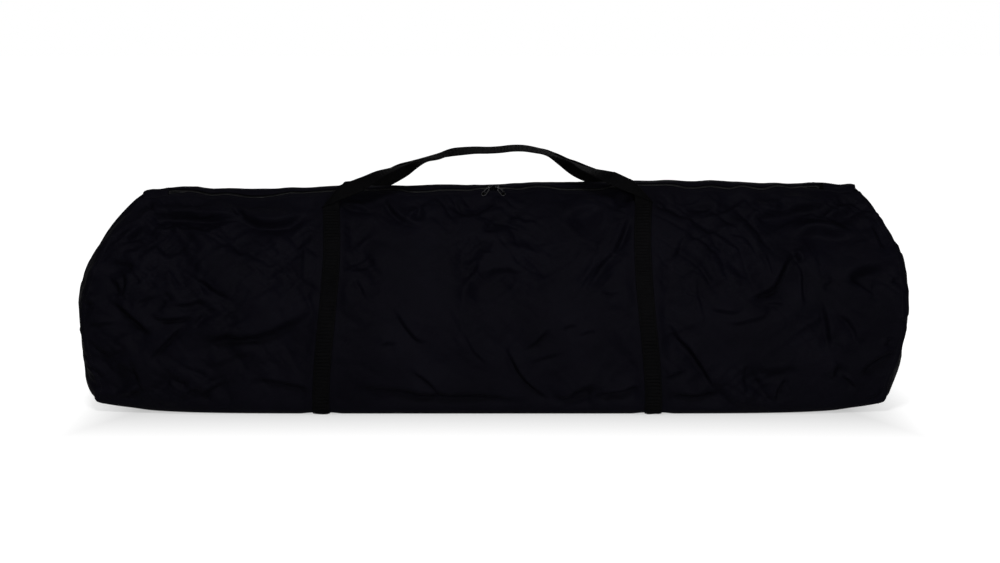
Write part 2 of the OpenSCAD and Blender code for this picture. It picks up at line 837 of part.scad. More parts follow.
// The net in zigzag layers, each joined to the next by a round fold
module folded_net() {
  half = net_len / 2;
  fold_r = net_pitch / 2 + net_layer / 2;
  color(net_col)
  translate([tube_x, net_y + net_w, net_z])
    rotate([90, 0, 0])
      linear_extrude(net_w) {
        for (i = [0:net_layers - 1])
          translate([-half, i * net_pitch]) square([2 * half, net_layer]);
        for (i = [0:net_layers - 2])
          translate([i % 2 == 0 ? half : -half, i * net_pitch + net_pitch / 2 + net_layer / 2])
            mirror([i % 2, 0])
              intersection() {
                difference() {
                  circle(fold_r);
                  circle(fold_r - net_layer);
                }
                translate([-fold_lap, -fold_r]) square([2 * fold_r, 2 * fold_r]);
              }
      }
}

// Hooks that hold the net to the rim, in two rows on the folded net
hook_r = 6;
hook_shank = 18;
hooks_per_row = 10;
hook_open = 150;
hook_rows = [0.3, 0.7];
module net_hook() {
  r = hook_wire / 2;
  rotate_extrude(angle = 360 - hook_open) translate([hook_r, 0]) circle(r);
  translate([hook_r, 0, 0]) rotate([90, 0, 0]) cylinder(hook_shank, r, r);
}
module net_hooks() {
  color(leg_col)
  for (row = hook_rows, i = [0:hooks_per_row - 1])
    translate([
      tube_x + (i - (hooks_per_row - 1) / 2) * net_len / (hooks_per_row + 1),
      net_y + net_w * row,
      net_top + pack_gap + hook_wire / 2
    ])
      net_hook();
}

// ---- Balls --------------------------------------------------------------------------
ball_y = leg_y + sleeve_r + pack_gap + ball_d / 2;
module ball(k) {
  color(yellow_col)
  translate([
    leg_bay + 2 * sleeve_r + pack_gap + ball_d / 2 + (k - 1) * (ball_d + pack_gap),
    ball_y,
    floor_z + pack_gap + ball_d / 2
  ])
    difference() {
      sphere(ball_d / 2);
      sphere(ball_d / 2 - ball_wall);
    }
}

body_panel();
end_panel(-1);  // end_panel_left
end_panel(1);  // end_panel_right
seam_binding(-1);  // seam_binding_left
seam_binding(1);  // seam_binding_right
zip_tape(-1);  // zip_tape_front
zip_tape(1);  // zip_tape_rear
zip_teeth(-1);  // zip_teeth_front
zip_teeth(1);  // zip_teeth_rear
zip_stop(-1);  // zip_stop_left
zip_stop(1);  // zip_stop_right
zip_tab(-1);  // zip_tab_left
zip_tab(1);  // zip_tab_right
slider(-1);  // slider_left
slider(1);  // slider_right
pull(-1);  // pull_left
pull(1);  // pull_right
strap(-1);  // strap_left
strap(1);  // strap_right
handle_front();
handle_rear();
for (k = [1:5]) {
  rim_tube(k);
  leg(k);
  leg_foot(k);
}
folded_net();
net_hooks();
for (k = [1:3]) {
  ball(k);
}
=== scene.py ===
"""Looks of the roundnet set's carry bag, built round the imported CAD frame."""
import math

import bpy
import numpy as np
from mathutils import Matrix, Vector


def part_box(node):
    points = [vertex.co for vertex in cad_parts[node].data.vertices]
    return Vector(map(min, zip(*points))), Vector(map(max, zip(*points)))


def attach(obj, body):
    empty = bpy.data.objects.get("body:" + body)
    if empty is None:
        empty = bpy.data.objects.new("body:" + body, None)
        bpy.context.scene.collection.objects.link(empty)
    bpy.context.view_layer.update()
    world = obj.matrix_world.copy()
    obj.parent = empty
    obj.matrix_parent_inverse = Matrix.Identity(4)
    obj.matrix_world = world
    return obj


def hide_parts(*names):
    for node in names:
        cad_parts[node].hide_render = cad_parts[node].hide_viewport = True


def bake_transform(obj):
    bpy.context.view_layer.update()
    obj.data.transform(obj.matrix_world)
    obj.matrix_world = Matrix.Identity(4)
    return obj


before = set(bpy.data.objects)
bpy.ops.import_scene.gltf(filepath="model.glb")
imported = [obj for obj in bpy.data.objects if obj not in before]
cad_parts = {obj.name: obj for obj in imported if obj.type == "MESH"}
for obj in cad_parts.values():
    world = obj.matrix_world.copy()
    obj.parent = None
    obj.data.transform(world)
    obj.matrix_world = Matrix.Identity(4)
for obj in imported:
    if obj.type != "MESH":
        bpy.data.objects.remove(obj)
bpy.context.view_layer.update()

MM = 0.001
rng = np.random.default_rng(11)

# ---- Sizes in millimetres, as in the part's source ----
SEAM_LEN, RIDGE_LEN, BASE_LEN = 1224, 1086, 1156
END_BULGE = 22
RIDGE_H, RIDGE_RISE = 335, 8
BAG_DEPTH, END_DEPTH = 248, 208
DEEP_H, LONG_H = 115, 150
FLOOR_W, END_LIFT = 208, 13
# How late towards the ends the skin narrows, lifts and moves out, and how late its ends lean in above
NARROW_POWER, LIFT_POWER, OUT_POWER, TOP_POWER = 5, 10, 9, 2.2
CLOTH_T = 1.5
WEB_W, WEB_T = 25, 1.6
LAY_GAP = 0.3
STRAP_SPAN, STRAP_WAIST_SPAN, STRAP_FOOT_SPAN = 472, 462, 496
STRAP_WAIST, STRAP_SHIFT = 0.77, -9
HANDLE_FOOT_H = 306
ZIP_FRONT, ZIP_BELOW, ZIP_TILT, SLIT_W = 9, 5, 35, 14
CHAIN_LEN, TOOTH_T = 996, 2.2
ROW_IN, ROW_OUT = 1.1, 4.1
TAPE_T, TAPE_SEAT, TAPE_END = 0.8, 2.0, 7
FLAT_END = 5.4
BASE_Z = WEB_T + LAY_GAP


def mix(a, b, t):
    return a * (1 - t) + b * t


def ease(t):
    t = np.clip(t, 0, 1)
    return t * t * (3 - 2 * t)


def unit(v):
    return v / np.linalg.norm(v, axis=-1, keepdims=True)


def lengths_along(path):
    """The length of a path of points up to each of them."""
    return np.concatenate([[0], np.cumsum(np.linalg.norm(np.diff(path, axis=0), axis=1))])


def normals(line, *along):
    """At each point of a flat line, the unit vector to the left of its way."""
    way = unit(np.gradient(line, *along, axis=0))
    return np.stack([-way[:, 1], way[:, 0]], 1)


def pairs(a, b):
    """Every value of a with every value of b, as a grid."""
    return np.stack(np.meshgrid(a, b, indexing="ij"), -1)


def side_name(side):
    return "right" if side > 0 else "left"


# ---- The skin of the bag ----
def bezier(points, t):
    p = np.array(points, float)
    t = np.asarray(t, float)[:, None]
    return (1 - t) ** 3 * p[0] + 3 * (1 - t) ** 2 * t * p[1] + 3 * (1 - t) * t * t * p[2] + t ** 3 * p[3]


SLIT_DIR = np.array([math.cos(math.radians(ZIP_TILT)), math.sin(math.radians(ZIP_TILT))])
SLIT_NORMAL = np.array([-SLIT_DIR[1], SLIT_DIR[0]])
SLIT_MID = np.array([-ZIP_FRONT, RIDGE_H - ZIP_BELOW])
ZIP_MID = SLIT_MID - (TAPE_SEAT + TAPE_T / 2) * SLIT_NORMAL
DEEP_Y = BAG_DEPTH / 2


def section():
    """The bag's section as [y, z] points, from the slit's front edge down and round to its rear edge."""
    front_edge = SLIT_MID - SLIT_W / 2 * SLIT_DIR
    rear_edge = SLIT_MID + SLIT_W / 2 * SLIT_DIR
    front_top = [front_edge, [-55, RIDGE_H - 38], [-DEEP_Y, RIDGE_H - 120], [-DEEP_Y, DEEP_H]]
    rear_top = [rear_edge, [34, RIDGE_H - 3], [DEEP_Y, RIDGE_H - 110], [DEEP_Y, DEEP_H]]
    front_low = [[-DEEP_Y, DEEP_H], [-DEEP_Y, 0.4 * DEEP_H], [6 - DEEP_Y, BASE_Z], [-FLOOR_W / 2, BASE_Z]]
    rear_low = [[-y, z] for y, z in front_low]
    t = np.linspace(0, 1, 300)
    floor_y = np.linspace(-FLOOR_W / 2, FLOOR_W / 2, 60)[1:-1]
    return np.concatenate([
        bezier(front_top, t), bezier(front_low, t)[1:],
        np.stack([floor_y, np.full_like(floor_y, BASE_Z)], 1),
        bezier(rear_low, t[::-1]), bezier(rear_top, t[::-1])[1:],
    ])


SECTION = section()
ARC = lengths_along(SECTION)
GIRTH = ARC[-1]
LOWEST = int(np.argmin(np.abs(SECTION[:, 0]) + SECTION[:, 1]))
INWARD = normals(SECTION, ARC)


def along_section(values, s):
    return np.stack([np.interp(s, ARC, values[:, k]) for k in (0, 1)], -1)


def height_at(s):
    """Height of the section at arc length s."""
    return np.interp(s, ARC, SECTION[:, 1])


def to_zip(s):
    """Arc length from s to the nearer edge of the slit."""
    return np.minimum(s, GIRTH - s)


def front_arc(z):
    """Arc length at which the front of the section has come down to height z."""
    return np.interp(-np.asarray(z, float), -SECTION[:LOWEST, 1], ARC[:LOWEST])


def rear_arc(z):
    """Arc length at which the rear of the section has come up to height z."""
    return np.interp(z, SECTION[LOWEST:, 1][:-1], ARC[LOWEST:][:-1])


# Arc lengths where the handles' feet are: the straps and the seam bindings run from one to the other
BELOW_FEET = float(front_arc(HANDLE_FOOT_H)), float(rear_arc(HANDLE_FOOT_H))


def half_len(z):
    """Half the bag's length at height z: longest at LONG_H, and curved in above and below it."""
    top = np.clip((z - LONG_H) / (RIDGE_H - LONG_H), 0, 1) ** TOP_POWER
    low = np.clip((LONG_H - z) / LONG_H, 0, None) ** 2
    return np.where(z > LONG_H, mix(SEAM_LEN, RIDGE_LEN, top), mix(SEAM_LEN, BASE_LEN, low)) / 2


# The bag's filled ends: their upper part sits further right, and their low corners stand out
TOP_SKEW, TOP_SKEW_FROM, TOP_SKEW_TO = 9, 150, 260
CORNER_OUT, CORNER_H, CORNER_REACH = (17, 8), 6, 19
SIDE_OUT, SIDE_REACH = 3, 60


def end_shape(u, z):
    """How far the cloth of the ends is moved along the bag."""
    near = np.abs(u) ** OUT_POWER
    skew = TOP_SKEW * ease((z - TOP_SKEW_FROM) / (TOP_SKEW_TO - TOP_SKEW_FROM))
    corner = np.where(u < 0, *CORNER_OUT) * np.exp(-((z - CORNER_H) / CORNER_REACH) ** 2)
    side = SIDE_OUT * np.exp(-((z - DEEP_H) / SIDE_REACH) ** 2)
    return near * (skew + np.sign(u) * (corner + side))


def place(x, u, p):
    """x along the bag at share u of its half length, [y, z] of the section, to a point of the skin."""
    y, z = p[..., 0], p[..., 1]
    narrow = (1 - END_DEPTH / BAG_DEPTH) * np.abs(u) ** NARROW_POWER * (y / DEEP_Y) ** 2
    lift = END_LIFT * np.abs(u) ** LIFT_POWER * np.clip(1 - z / RIDGE_H, 0, None) ** 2
    rise = RIDGE_RISE * x / RIDGE_LEN * z / RIDGE_H
    return np.stack([x + end_shape(u, z) + 0 * y, y * (1 - narrow), z + lift + rise], -1)


def skin_at(x, s, off=0.0):
    """A point of the skin at the distance x from the middle and arc length s, moved inward by off."""
    x, s, off = np.broadcast_arrays(x, s, off)
    p = along_section(SECTION, s)
    return place(x, x / half_len(p[..., 1]), p + off[..., None] * along_section(INWARD, s))


def skin(u, s, off=0.0):
    """The same at the share u of the half length."""
    return skin_at(u * half_len(height_at(s)), s, off)


def strap_x(z):
    """Half the distance between the two straps at height z."""
    h = np.asarray(z, float) / HANDLE_FOOT_H
    low = mix(STRAP_FOOT_SPAN, STRAP_WAIST_SPAN, ease(h / STRAP_WAIST))
    high = mix(STRAP_WAIST_SPAN, STRAP_SPAN, np.clip((h - STRAP_WAIST) / (1 - STRAP_WAIST), 0, 1) ** 2)
    return np.where(h < STRAP_WAIST, low, high) / 2


# ---- Folds in the cloth ----
LATTICE = rng.uniform(-1, 1, (128, 128))


def noise(x, y, size, seed=0):
    """Smooth noise from -1 to 1 whose features are about size apart."""
    gx, gy = x / size + 17.3 * seed, y / size + 31.7 * seed
    i, j = np.floor(gx).astype(int), np.floor(gy).astype(int)
    fx, fy = gx - i, gy - j
    fx, fy = fx ** 3 * (fx * (6 * fx - 15) + 10), fy ** 3 * (fy * (6 * fy - 15) + 10)
    corner = [[LATTICE[(i + a) % 128, (j + b) % 128] for b in (0, 1)] for a in (0, 1)]
    return mix(mix(corner[0][0], corner[1][0], fx), mix(corner[0][1], corner[1][1], fx), fy)


def turned(x, s, degrees, stretch):
    """Coordinates turned by an angle and shortened along their first axis, for folds that run that way."""
    c, d = math.cos(math.radians(degrees)), math.sin(math.radians(degrees))
    return (x * c + s * d) / stretch, s * c - x * d


# Creases of the front as ([(x, height), ...], depth, width of the steep side, width of the
# gentle side). The steep side is on the right hand of the direction of travel.
CREASES = [
    ([(-540, 302), (-509, 303), (-471, 302), (-418, 301), (-372, 300)], 8, 6, 13),
    ([(-388, 307), (-362, 296), (-345, 291), (-320, 291), (-298, 299), (-282, 308)], 8, 8, 18),
    ([(-394, 314), (-378, 306), (-366, 296)], 2.5, 4, 8),
    ([(-560, 263), (-546, 273), (-536, 284), (-529, 291)], 4, 6, 10),
    ([(-532, 281), (-514, 280), (-494, 274)], 3, 12, 12),
    ([(-585, 235), (-558, 235), (-527, 225)], 3.5, 8, 14),
    ([(-578, 219), (-563, 207), (-552, 192), (-549, 178)], 4, 7, 9),
    ([(-551, 219), (-542, 202), (-543, 185), (-548, 172)], 4, 6, 8),
    ([(-540, 224), (-528, 210), (-513, 194)], 2, 4, 8),
    ([(-572, 183), (-552, 169), (-529, 151), (-507, 133), (-497, 124)], 9, 9, 18),
    ([(-610, 174), (-590, 173)], 4, 5, 6),
    ([(-604, 134), (-583, 139), (-567, 142), (-549, 146)], 3, 5, 10),
    ([(-534, 169), (-515, 178), (-489, 187)], 2.5, 4, 10),
    ([(-504, 160), (-492, 151), (-469, 151), (-440, 156)], 4, 5, 12),
    ([(-517, 80), (-501, 97), (-480, 119), (-462, 137), (-450, 147)], 4, 4, 14),
    ([(-447, 135), (-437, 149), (-426, 162)], 2, 4, 8),
    ([(-449, 213), (-429, 206), (-409, 193), (-391, 183), (-379, 178)], 3.5, 6, 16),
    ([(-484, 171), (-455, 173), (-432, 178), (-416, 182)], 2.5, 6, 14),
    ([(-488, 194), (-474, 186), (-465, 174)], 2.5, 8, 8),
    ([(-454, 108), (-433, 119), (-403, 130), (-366, 130), (-336, 136), (-307, 149), (-285, 164),
      (-268, 179)], 8, 15, 40),
    ([(-432, 81), (-404, 89), (-374, 101), (-341, 108)], 2.5, 12, 22),
    ([(-537, 90), (-530, 75), (-524, 54), (-515, 32)], 4, 5, 12),
    ([(-444, 26), (-424, 41), (-399, 52)], 2, 5, 10),
    ([(-479, 33), (-458, 42), (-439, 46)], 1.5, 6, 8),
    ([(-368, 59), (-343, 59), (-316, 57), (-287, 50), (-257, 40)], 3, 9, 22),
    ([(-283, 259), (-279, 238), (-278, 210), (-275, 189)], 1.2, 4, 8),
    ([(-564, 107), (-550, 114), (-534, 127)], 2, 6, 8),
    ([(-589, 92), (-569, 96), (-546, 102)], 2, 6, 10),
    ([(-381, 245), (-368, 234), (-353, 222), (-342, 215)], 1.5, 6, 10),
    ([(-547, 18), (-538, 30), (-529, 40)], 2, 4, 6),
    ([(-247, 310), (-225, 313), (-202, 310), (-177, 302)], 3, 5, 8),
    ([(-166, 321), (-153, 307), (-139, 295), (-123, 287), (-105, 283)], 3, 4, 10),
    ([(-128, 295), (-118, 302), (-114, 310)], 2, 4, 6),
    ([(-114, 309), (-103, 303), (-94, 291)], 2, 10, 8),
    ([(-70, 314), (-55, 309), (-38, 302)], 1.5, 8, 10),
    ([(-72, 259), (-53, 270), (-27, 278), (-5, 294), (25, 306), (55, 314)], 3.5, 14, 26),
    ([(-45, 206), (-34, 223), (-23, 237)], 1.5, 4, 8),
    ([(-46, 229), (-35, 248), (-20, 259), (10, 267)], 1.5, 6, 12),
    ([(-20, 220), (10, 223), (40, 220), (65, 222)], 2.5, 8, 14),
    ([(71, 245), (87, 251), (117, 259)], 1.5, 8, 12),
    ([(100, 292), (131, 306), (166, 310)], 4, 14, 14),
    ([(125, 178), (143, 206), (158, 229), (176, 245), (189, 267), (201, 289), (212, 307)], 4, 6, 14),
    ([(106, 164), (121, 185), (140, 212), (158, 238), (174, 259), (185, 280), (203, 306)], 2, 4, 8),
    ([(156, 255), (159, 245), (161, 234)], 1.5, 4, 5),
    ([(192, 255), (205, 258), (218, 249)], 1.5, 4, 6),
    ([(-224, 192), (-211, 202), (-203, 212)], 2.5, 8, 8),
    ([(-218, 226), (-209, 215), (-197, 202), (-187, 184), (-178, 167)], 1.8, 4, 10),
    ([(-146, 168), (-136, 151), (-123, 132), (-109, 118), (-92, 117)], 2.5, 5, 13),
    ([(-126, 76), (-108, 65), (-91, 51), (-78, 39), (-57, 34)], 2.5, 4, 13),
    ([(10, 111), (22, 102), (31, 85), (41, 67), (54, 51), (72, 35), (89, 21)], 3.5, 4.5, 15),
    ([(44, 102), (59, 112), (73, 126), (85, 136)], 2.5, 4, 10),
    ([(-42, 132), (-34, 114), (-25, 99), (-15, 90), (-5, 76)], 1.5, 4, 8),
    ([(-227, 42), (-198, 50), (-153, 47), (-109, 40), (-72, 37), (-20, 37), (25, 31), (77, 26)], 3, 10, 20),
    ([(-132, 21), (-109, 31), (-79, 29)], 1.5, 5, 8),
    ([(81, 31), (107, 34), (121, 43), (143, 51), (164, 45)], 4, 12, 14),
    ([(147, 29), (166, 37), (188, 39), (206, 45), (221, 50)], 4, 5, 12),
    ([(98, 132), (113, 139), (128, 138)], 1.5, 4, 8),
    ([(123, 123), (140, 130), (154, 132)], 1.5, 4, 8),
    ([(47, 82), (76, 91), (106, 99)], 1.2, 4, 10),
    ([(-170, 108), (-158, 115), (-140, 115)], 1.5, 6, 8),
    ([(157, 188), (175, 185), (185, 191)], 2, 3, 5),
    ([(100, 15), (129, 22), (147, 32)], 2, 5, 8),
    ([(244, 307), (254, 306), (265, 309)], 2, 4, 6),
    ([(282, 304), (297, 309), (315, 310), (340, 310)], 3, 5, 10),
    ([(383, 292), (409, 299), (435, 302), (455, 307), (486, 310), (513, 318)], 8, 8, 20),
    ([(490, 289), (510, 299), (531, 306), (549, 309)], 4.5, 12, 12),
    ([(440, 266), (459, 274), (482, 278), (511, 273), (545, 274)], 7, 13, 20),
    ([(573, 235), (567, 250), (563, 267), (559, 284)], 3.5, 6, 9),
    ([(580, 245), (592, 256), (600, 264)], 2, 5, 6),
    ([(371, 176), (393, 185), (411, 193), (422, 210), (432, 228), (445, 242)], 6, 6, 20),
    ([(445, 245), (455, 237), (460, 224)], 4, 6, 8),
    ([(457, 162), (454, 186), (454, 210), (447, 228)], 3, 4, 9),
    ([(313, 165), (334, 161), (356, 159), (371, 168)], 2, 5, 10),
    ([(337, 142), (361, 142), (381, 147), (399, 153), (405, 168)], 2, 4, 10),
    ([(396, 169), (415, 172), (435, 169)], 2, 5, 10),
    ([(328, 224), (348, 238), (374, 251), (400, 256)], 3, 14, 18),
    ([(409, 203), (407, 220), (399, 238)], 1.5, 4, 7),
    ([(240, 229), (259, 234), (270, 245), (275, 259), (294, 270), (306, 280)], 2.5, 7, 14),
    ([(249, 142), (263, 139), (275, 120), (290, 105), (306, 83), (321, 59), (334, 38)], 3.5, 5, 15),
    ([(250, 59), (269, 68), (288, 74)], 2, 6, 10),
    ([(251, 37), (277, 37), (307, 35), (355, 38)], 2.5, 9, 14),
    ([(485, 177), (493, 152), (498, 127), (501, 103), (497, 88)], 4.5, 5, 14),
    ([(483, 193), (495, 199), (503, 203)], 2, 4, 7),
    ([(503, 160), (515, 151), (527, 142), (537, 124), (544, 99)], 3.5, 5, 13),
    ([(513, 191), (522, 210), (541, 221), (567, 224), (593, 213)], 9, 16, 14),
    ([(585, 195), (593, 203), (603, 202)], 2.5, 3, 5),
    ([(599, 137), (616, 144)], 3, 4, 5),
    ([(577, 99), (586, 114)], 3, 4, 5),
    ([(538, 57), (548, 69), (563, 81), (581, 89), (601, 95)], 7, 10, 12),
    ([(515, 63), (531, 51), (545, 36)], 3.5, 4, 8),
    ([(499, 53), (503, 70), (511, 83)], 4, 10, 8),
    ([(389, 68), (410, 74), (432, 78), (454, 83)], 3, 14, 16),
    ([(418, 15), (420, 36), (431, 54), (440, 58)], 3, 4, 12),
    ([(374, 24), (370, 56), (368, 83)], 1.5, 5, 8),
    ([(549, 17), (567, 21), (581, 31)], 3, 6, 8),
    ([(310, 132), (305, 161), (299, 189), (300, 217)], 1, 4, 8),
]
# The rear has every second of them again, in other places and shallower
REAR_CREASES = [
    ([(24 - 0.97 * x, 0.9 * z + 14) for x, z in points], 0.8 * depth, steep, gentle)
    for points, depth, steep, gentle in CREASES[1::2]
]
# A crease's height on its gentle and its steep side as shares of its depth, how slowly its steep side
# fades, the power of both, and the share of its length over which an end fades
CREST, TROUGH, FADE, FADE_POWER, END_FADE = 0.45, -0.55, 1.7, 1.2, 0.38
# Creases are drawn this much deeper and wider than listed
CREASE_DEPTH, CREASE_WIDTH = 4.0, 1.2


def smooth_line(points, per_span=8):
    """A Catmull-Rom curve through the points."""
    p = np.array(points, float)
    p = np.concatenate([[2 * p[0] - p[1]], p, [2 * p[-1] - p[-2]]])
    t = (np.arange(per_span) / per_span)[:, None]
    spans = [
        0.5 * (2 * b + (c - a) * t + (2 * a - 5 * b + 4 * c - d) * t ** 2 + (3 * b - a - 3 * c + d) * t ** 3)
        for a, b, c, d in zip(p, p[1:], p[2:], p[3:])
    ]
    return np.concatenate([*spans, p[-2:-1]])


def add_crease(relief, x, s, points, depth, steep, gentle):
    """Adds one crease to relief, outward positive, in shares of CREASE_DEPTH."""
    line = smooth_line([(px, front_arc(pz)) for px, pz in points])
    reach = 3 * max(steep, gentle)
    low, high = line.min(0) - reach, line.max(0) + reach
    near = (x > low[0]) & (x < high[0]) & (s > low[1]) & (s < high[1])
    if not near.any():
        return
    q = np.stack([x[near], s[near]], -1)
    a, d = line[:-1], np.diff(line, axis=0)
    length = np.linalg.norm(d, axis=1)
    start = np.concatenate([[0], np.cumsum(length)[:-1]])
    rel = q[:, None] - a
    t = np.clip((rel * d).sum(-1) / length ** 2, 0, 1)
    away = rel - t[..., None] * d
    dist = np.linalg.norm(away, axis=-1)
    k = dist.argmin(1)
    row = np.arange(len(q))
    side = np.sign(d[k, 0] * rel[row, k, 1] - d[k, 1] * rel[row, k, 0])
    dist, share = dist[row, k], (start[k] + t[row, k] * length[k]) / length.sum()
    fade = ease(np.minimum(share, 1 - share) / END_FADE)
    up = CREST * np.exp(-(dist / gentle) ** FADE_POWER)
    down = np.where(
        dist < steep,
        mix(CREST, TROUGH, ease(dist / steep)),
        TROUGH * np.exp(-((np.maximum(dist, steep) - steep) / (FADE * steep)) ** FADE_POWER),
    )
    relief[near] += depth * fade * np.where(side < 0, up, down)


# Where the two sliders rest and where they stop, the zip runs straight
STRAIGHT_AT = (0, 486, -486)
# The zip's waves as height and size
ZIP_WAVES = [(0.4, 44), (0.35, 25)]


def off_stops(x, near, fade, least=0.0):
    """Rises to 1 past the distance near from where the sliders rest and stop, where it is least."""
    out = 1.0
    for at in STRAIGHT_AT:
        out = out * mix(least, 1, ease((np.abs(x - at) - near) / fade))
    return out


def zip_wave(x, seed):
    """Waves along the zip, which lies still where the sliders rest and stop."""
    wave = sum(height * noise(x, 0 * x, size, seed + k) for k, (height, size) in enumerate(ZIP_WAVES))
    return wave * off_stops(x, 16, 30) * ease((RIDGE_LEN / 2 - np.abs(x)) / 20)


# Crumples of the cloth by scale: size, height, stretch along their run, and how much the ends have more
CRUMPLES = [(82, 8.5, 2.0, 0.3), (44, 5.4, 3.0, 0.5), (25, 2.6, 3.2, 0.8), (13, 1.2, 2.4, 1.0)]
# How far each scale wanders, the ways that valleys and ridges run, and where the ends begin
CRUMPLE_WANDER, VALLEY_WAY, RIDGE_WAY, ENDS_FROM, ENDS_OVER = 0.45, 42, -36, 330, 240
# The cloth is calm in places: least share of the crumples, what the rest adds, and size of the places
CALM_LEAST, CALM_ADD, CALM_SIZE = 0.25, 1.05, 120


def crumple(x, s):
    """Creased cloth: sharp valleys and sharp ridges that run both ways across, at several scales."""
    out = np.zeros(np.broadcast(x, s).shape)
    calm = CALM_LEAST + CALM_ADD * ease(0.5 + 1.3 * noise(x, s, CALM_SIZE, 140))
    for k, (size, height, stretch, ends) in enumerate(CRUMPLES):
        wx = x + CRUMPLE_WANDER * size * noise(x, s, 1.7 * size, 100 + k)
        ws = s + CRUMPLE_WANDER * size * noise(x, s, 1.7 * size, 110 + k)
        valley = np.abs(noise(*turned(wx, ws, VALLEY_WAY, stretch), size / 1.5, 120 + k))
        ridge = np.abs(noise(*turned(wx, ws, RIDGE_WAY, stretch), size / 1.5, 130 + k))
        more = 1 + ends * ease((np.abs(x) - ENDS_FROM) / ENDS_OVER)
        out += height * calm * more * (valley - ridge)
    return out


def creases(x, s):
    out = np.zeros(x.shape)
    for rows, arc in ((CREASES, s), (REAR_CREASES, GIRTH - s)):
        for points, depth, steep, gentle in rows:
            add_crease(out, x, arc, points, depth, CREASE_WIDTH * steep, CREASE_WIDTH * gentle)
    return CREASE_DEPTH * out


# Puckers where the cloth is sewn, as height and reach, and the hollows that the sewing pulls in
SEAM_PUCKER, STRAP_PUCKER, ZIP_PUCKER = (2.6, 30), (0.9, 16), (0.8, 20)
SEAM_HOLLOW, STRAP_HOLLOW = (2.0, 14), (1.2, 26)
# How far from a strap's middle its pucker starts
STRAP_EDGE = WEB_W / 2 + 0.5


def puckers(x, s, to_end, past_strap):
    """Small folds and hollows along the end seams, beside the straps and below the zip."""
    beyond = np.clip(to_end, 0, None)
    seam_s, end = s + 6 * noise(x, s, 60, 30), 0 * x + np.sign(x)
    fold = noise(seam_s, end, 15, 31) + 0.6 * noise(seam_s, end, 8, 32)
    out = SEAM_PUCKER[0] * fold * np.exp(-beyond / SEAM_PUCKER[1]) * ease(to_end / 5)
    out -= SEAM_HOLLOW[0] * np.exp(-beyond / SEAM_HOLLOW[1])
    side = np.sign(x) * (2 + np.sign(past_strap))
    clear = np.clip(np.abs(past_strap) - STRAP_EDGE, 0, None)
    out += STRAP_PUCKER[0] * noise(s, side * 40, 9, 33) * np.exp(-clear / STRAP_PUCKER[1])
    out -= STRAP_HOLLOW[0] * np.exp(-(past_strap / STRAP_HOLLOW[1]) ** 2)
    face = 0 * s + np.sign(s - GIRTH / 2)
    return out + ZIP_PUCKER[0] * noise(x, face, 13, 34) * np.exp(-to_zip(s) / ZIP_PUCKER[1])


# Broad mounds as height, size and seed, and how far the cloth lies inside the plain skin
MOUNDS, SUNK = [(2.2, 170, 1), (1.6, 80, 2)], 2.8
# The most that the cloth stands out, and high up where folded handles lie on it, and sinks in
OUT_MAX, OUT_MAX_HIGH, IN_MAX, IN_MAX_REAR = 8.0, 2.0, 18.0, 9.0
LAND_H, LAND_HALF = 215, 300
# Where the cloth lies flat: the height that rests on the floor, the share of its folds that is left
# under the straps, and how far away they are full again
ON_FLOOR, UNDER_STRAP, FLAT_FADE, STRAP_FADE = 4, 0.12, 26, 17
# What the sagging bottom leaves of its room above the ground, and the share of its length where it ends
SAG_LEFT, SAG_END = 0.5, 0.93
# How high the zip's small waves are, and how far into the cloth they reach
ZIP_LIFT, LIFT_REACH = 0.9, 14
# Where the pulls come to hang, how far that reaches along the zip, and down the front
HANG_AT, HANG_HALF, HANG_DOWN = 492, 26, 34
# The roll of the rear cloth behind the zip: height, distance from the slit, and width
REAR_ROLL, ROLL_AT, ROLL_W = 6.5, 8, 6


def relief(x, s):
    """How far the cloth stands out from the plain skin."""
    x, s = np.broadcast_arrays(np.asarray(x, float), np.asarray(s, float))
    z = height_at(s)
    half = half_len(z)
    past_strap = np.abs(x - STRAP_SHIFT) - strap_x(z)
    to_strap = np.abs(past_strap)
    out = sum(height * noise(x, s, size, seed) for height, size, seed in MOUNDS) + crumple(x, s) - SUNK
    out = out + creases(x, s) + puckers(x, s, half - np.abs(x), past_strap)
    high = ease((z - LAND_H + 30) / 30) * ease((LAND_HALF - np.abs(x)) / 50)
    out_max = mix(OUT_MAX, OUT_MAX_HIGH, high)
    in_max = np.where(s > GIRTH / 2, IN_MAX_REAR, IN_MAX)
    out = np.where(out > 0, out_max * np.tanh(out / out_max), -in_max * np.tanh(-out / in_max))
    # The cloth lies flat on the floor, at the zip and under the straps
    beside_strap = mix(UNDER_STRAP, 1, ease((to_strap - STRAP_EDGE) / STRAP_FADE))
    out = out * ease((z - ON_FLOOR) / FLAT_FADE) * ease(to_zip(s) / FLAT_FADE) * beside_strap
    hang = np.exp(-((np.abs(x) - HANG_AT) / HANG_HALF) ** 2) * np.exp(-(s / HANG_DOWN) ** 2)
    out = np.where(out > 0, out * (1 - hang), out)
    # The bottom sags on to the ground between the straps
    sag = (BASE_Z - SAG_LEFT) * (1 - ease((z - BASE_Z) / 3)) * ease((to_strap - STRAP_EDGE - 1) / 20)
    sag = sag * ease((SAG_END - np.abs(x) / half) / 0.06)
    wave = ZIP_LIFT * zip_wave(x, 40) * np.exp(-(to_zip(s) / LIFT_REACH) ** 2)
    roll = REAR_ROLL * (0.8 + 0.4 * noise(x, 0 * s, 55, 36)) * np.exp(-((GIRTH - s - ROLL_AT) / ROLL_W) ** 2)
    roll = roll * off_stops(x, 16, 20, 0.6)
    return out + sag + wave + roll * ease((RIDGE_LEN / 2 - 25 - np.abs(x)) / 40)


# ---- Meshes ----
def add_object(name, data):
    piece = bpy.data.objects.new(name, data)
    bpy.context.scene.collection.objects.link(piece)
    return piece


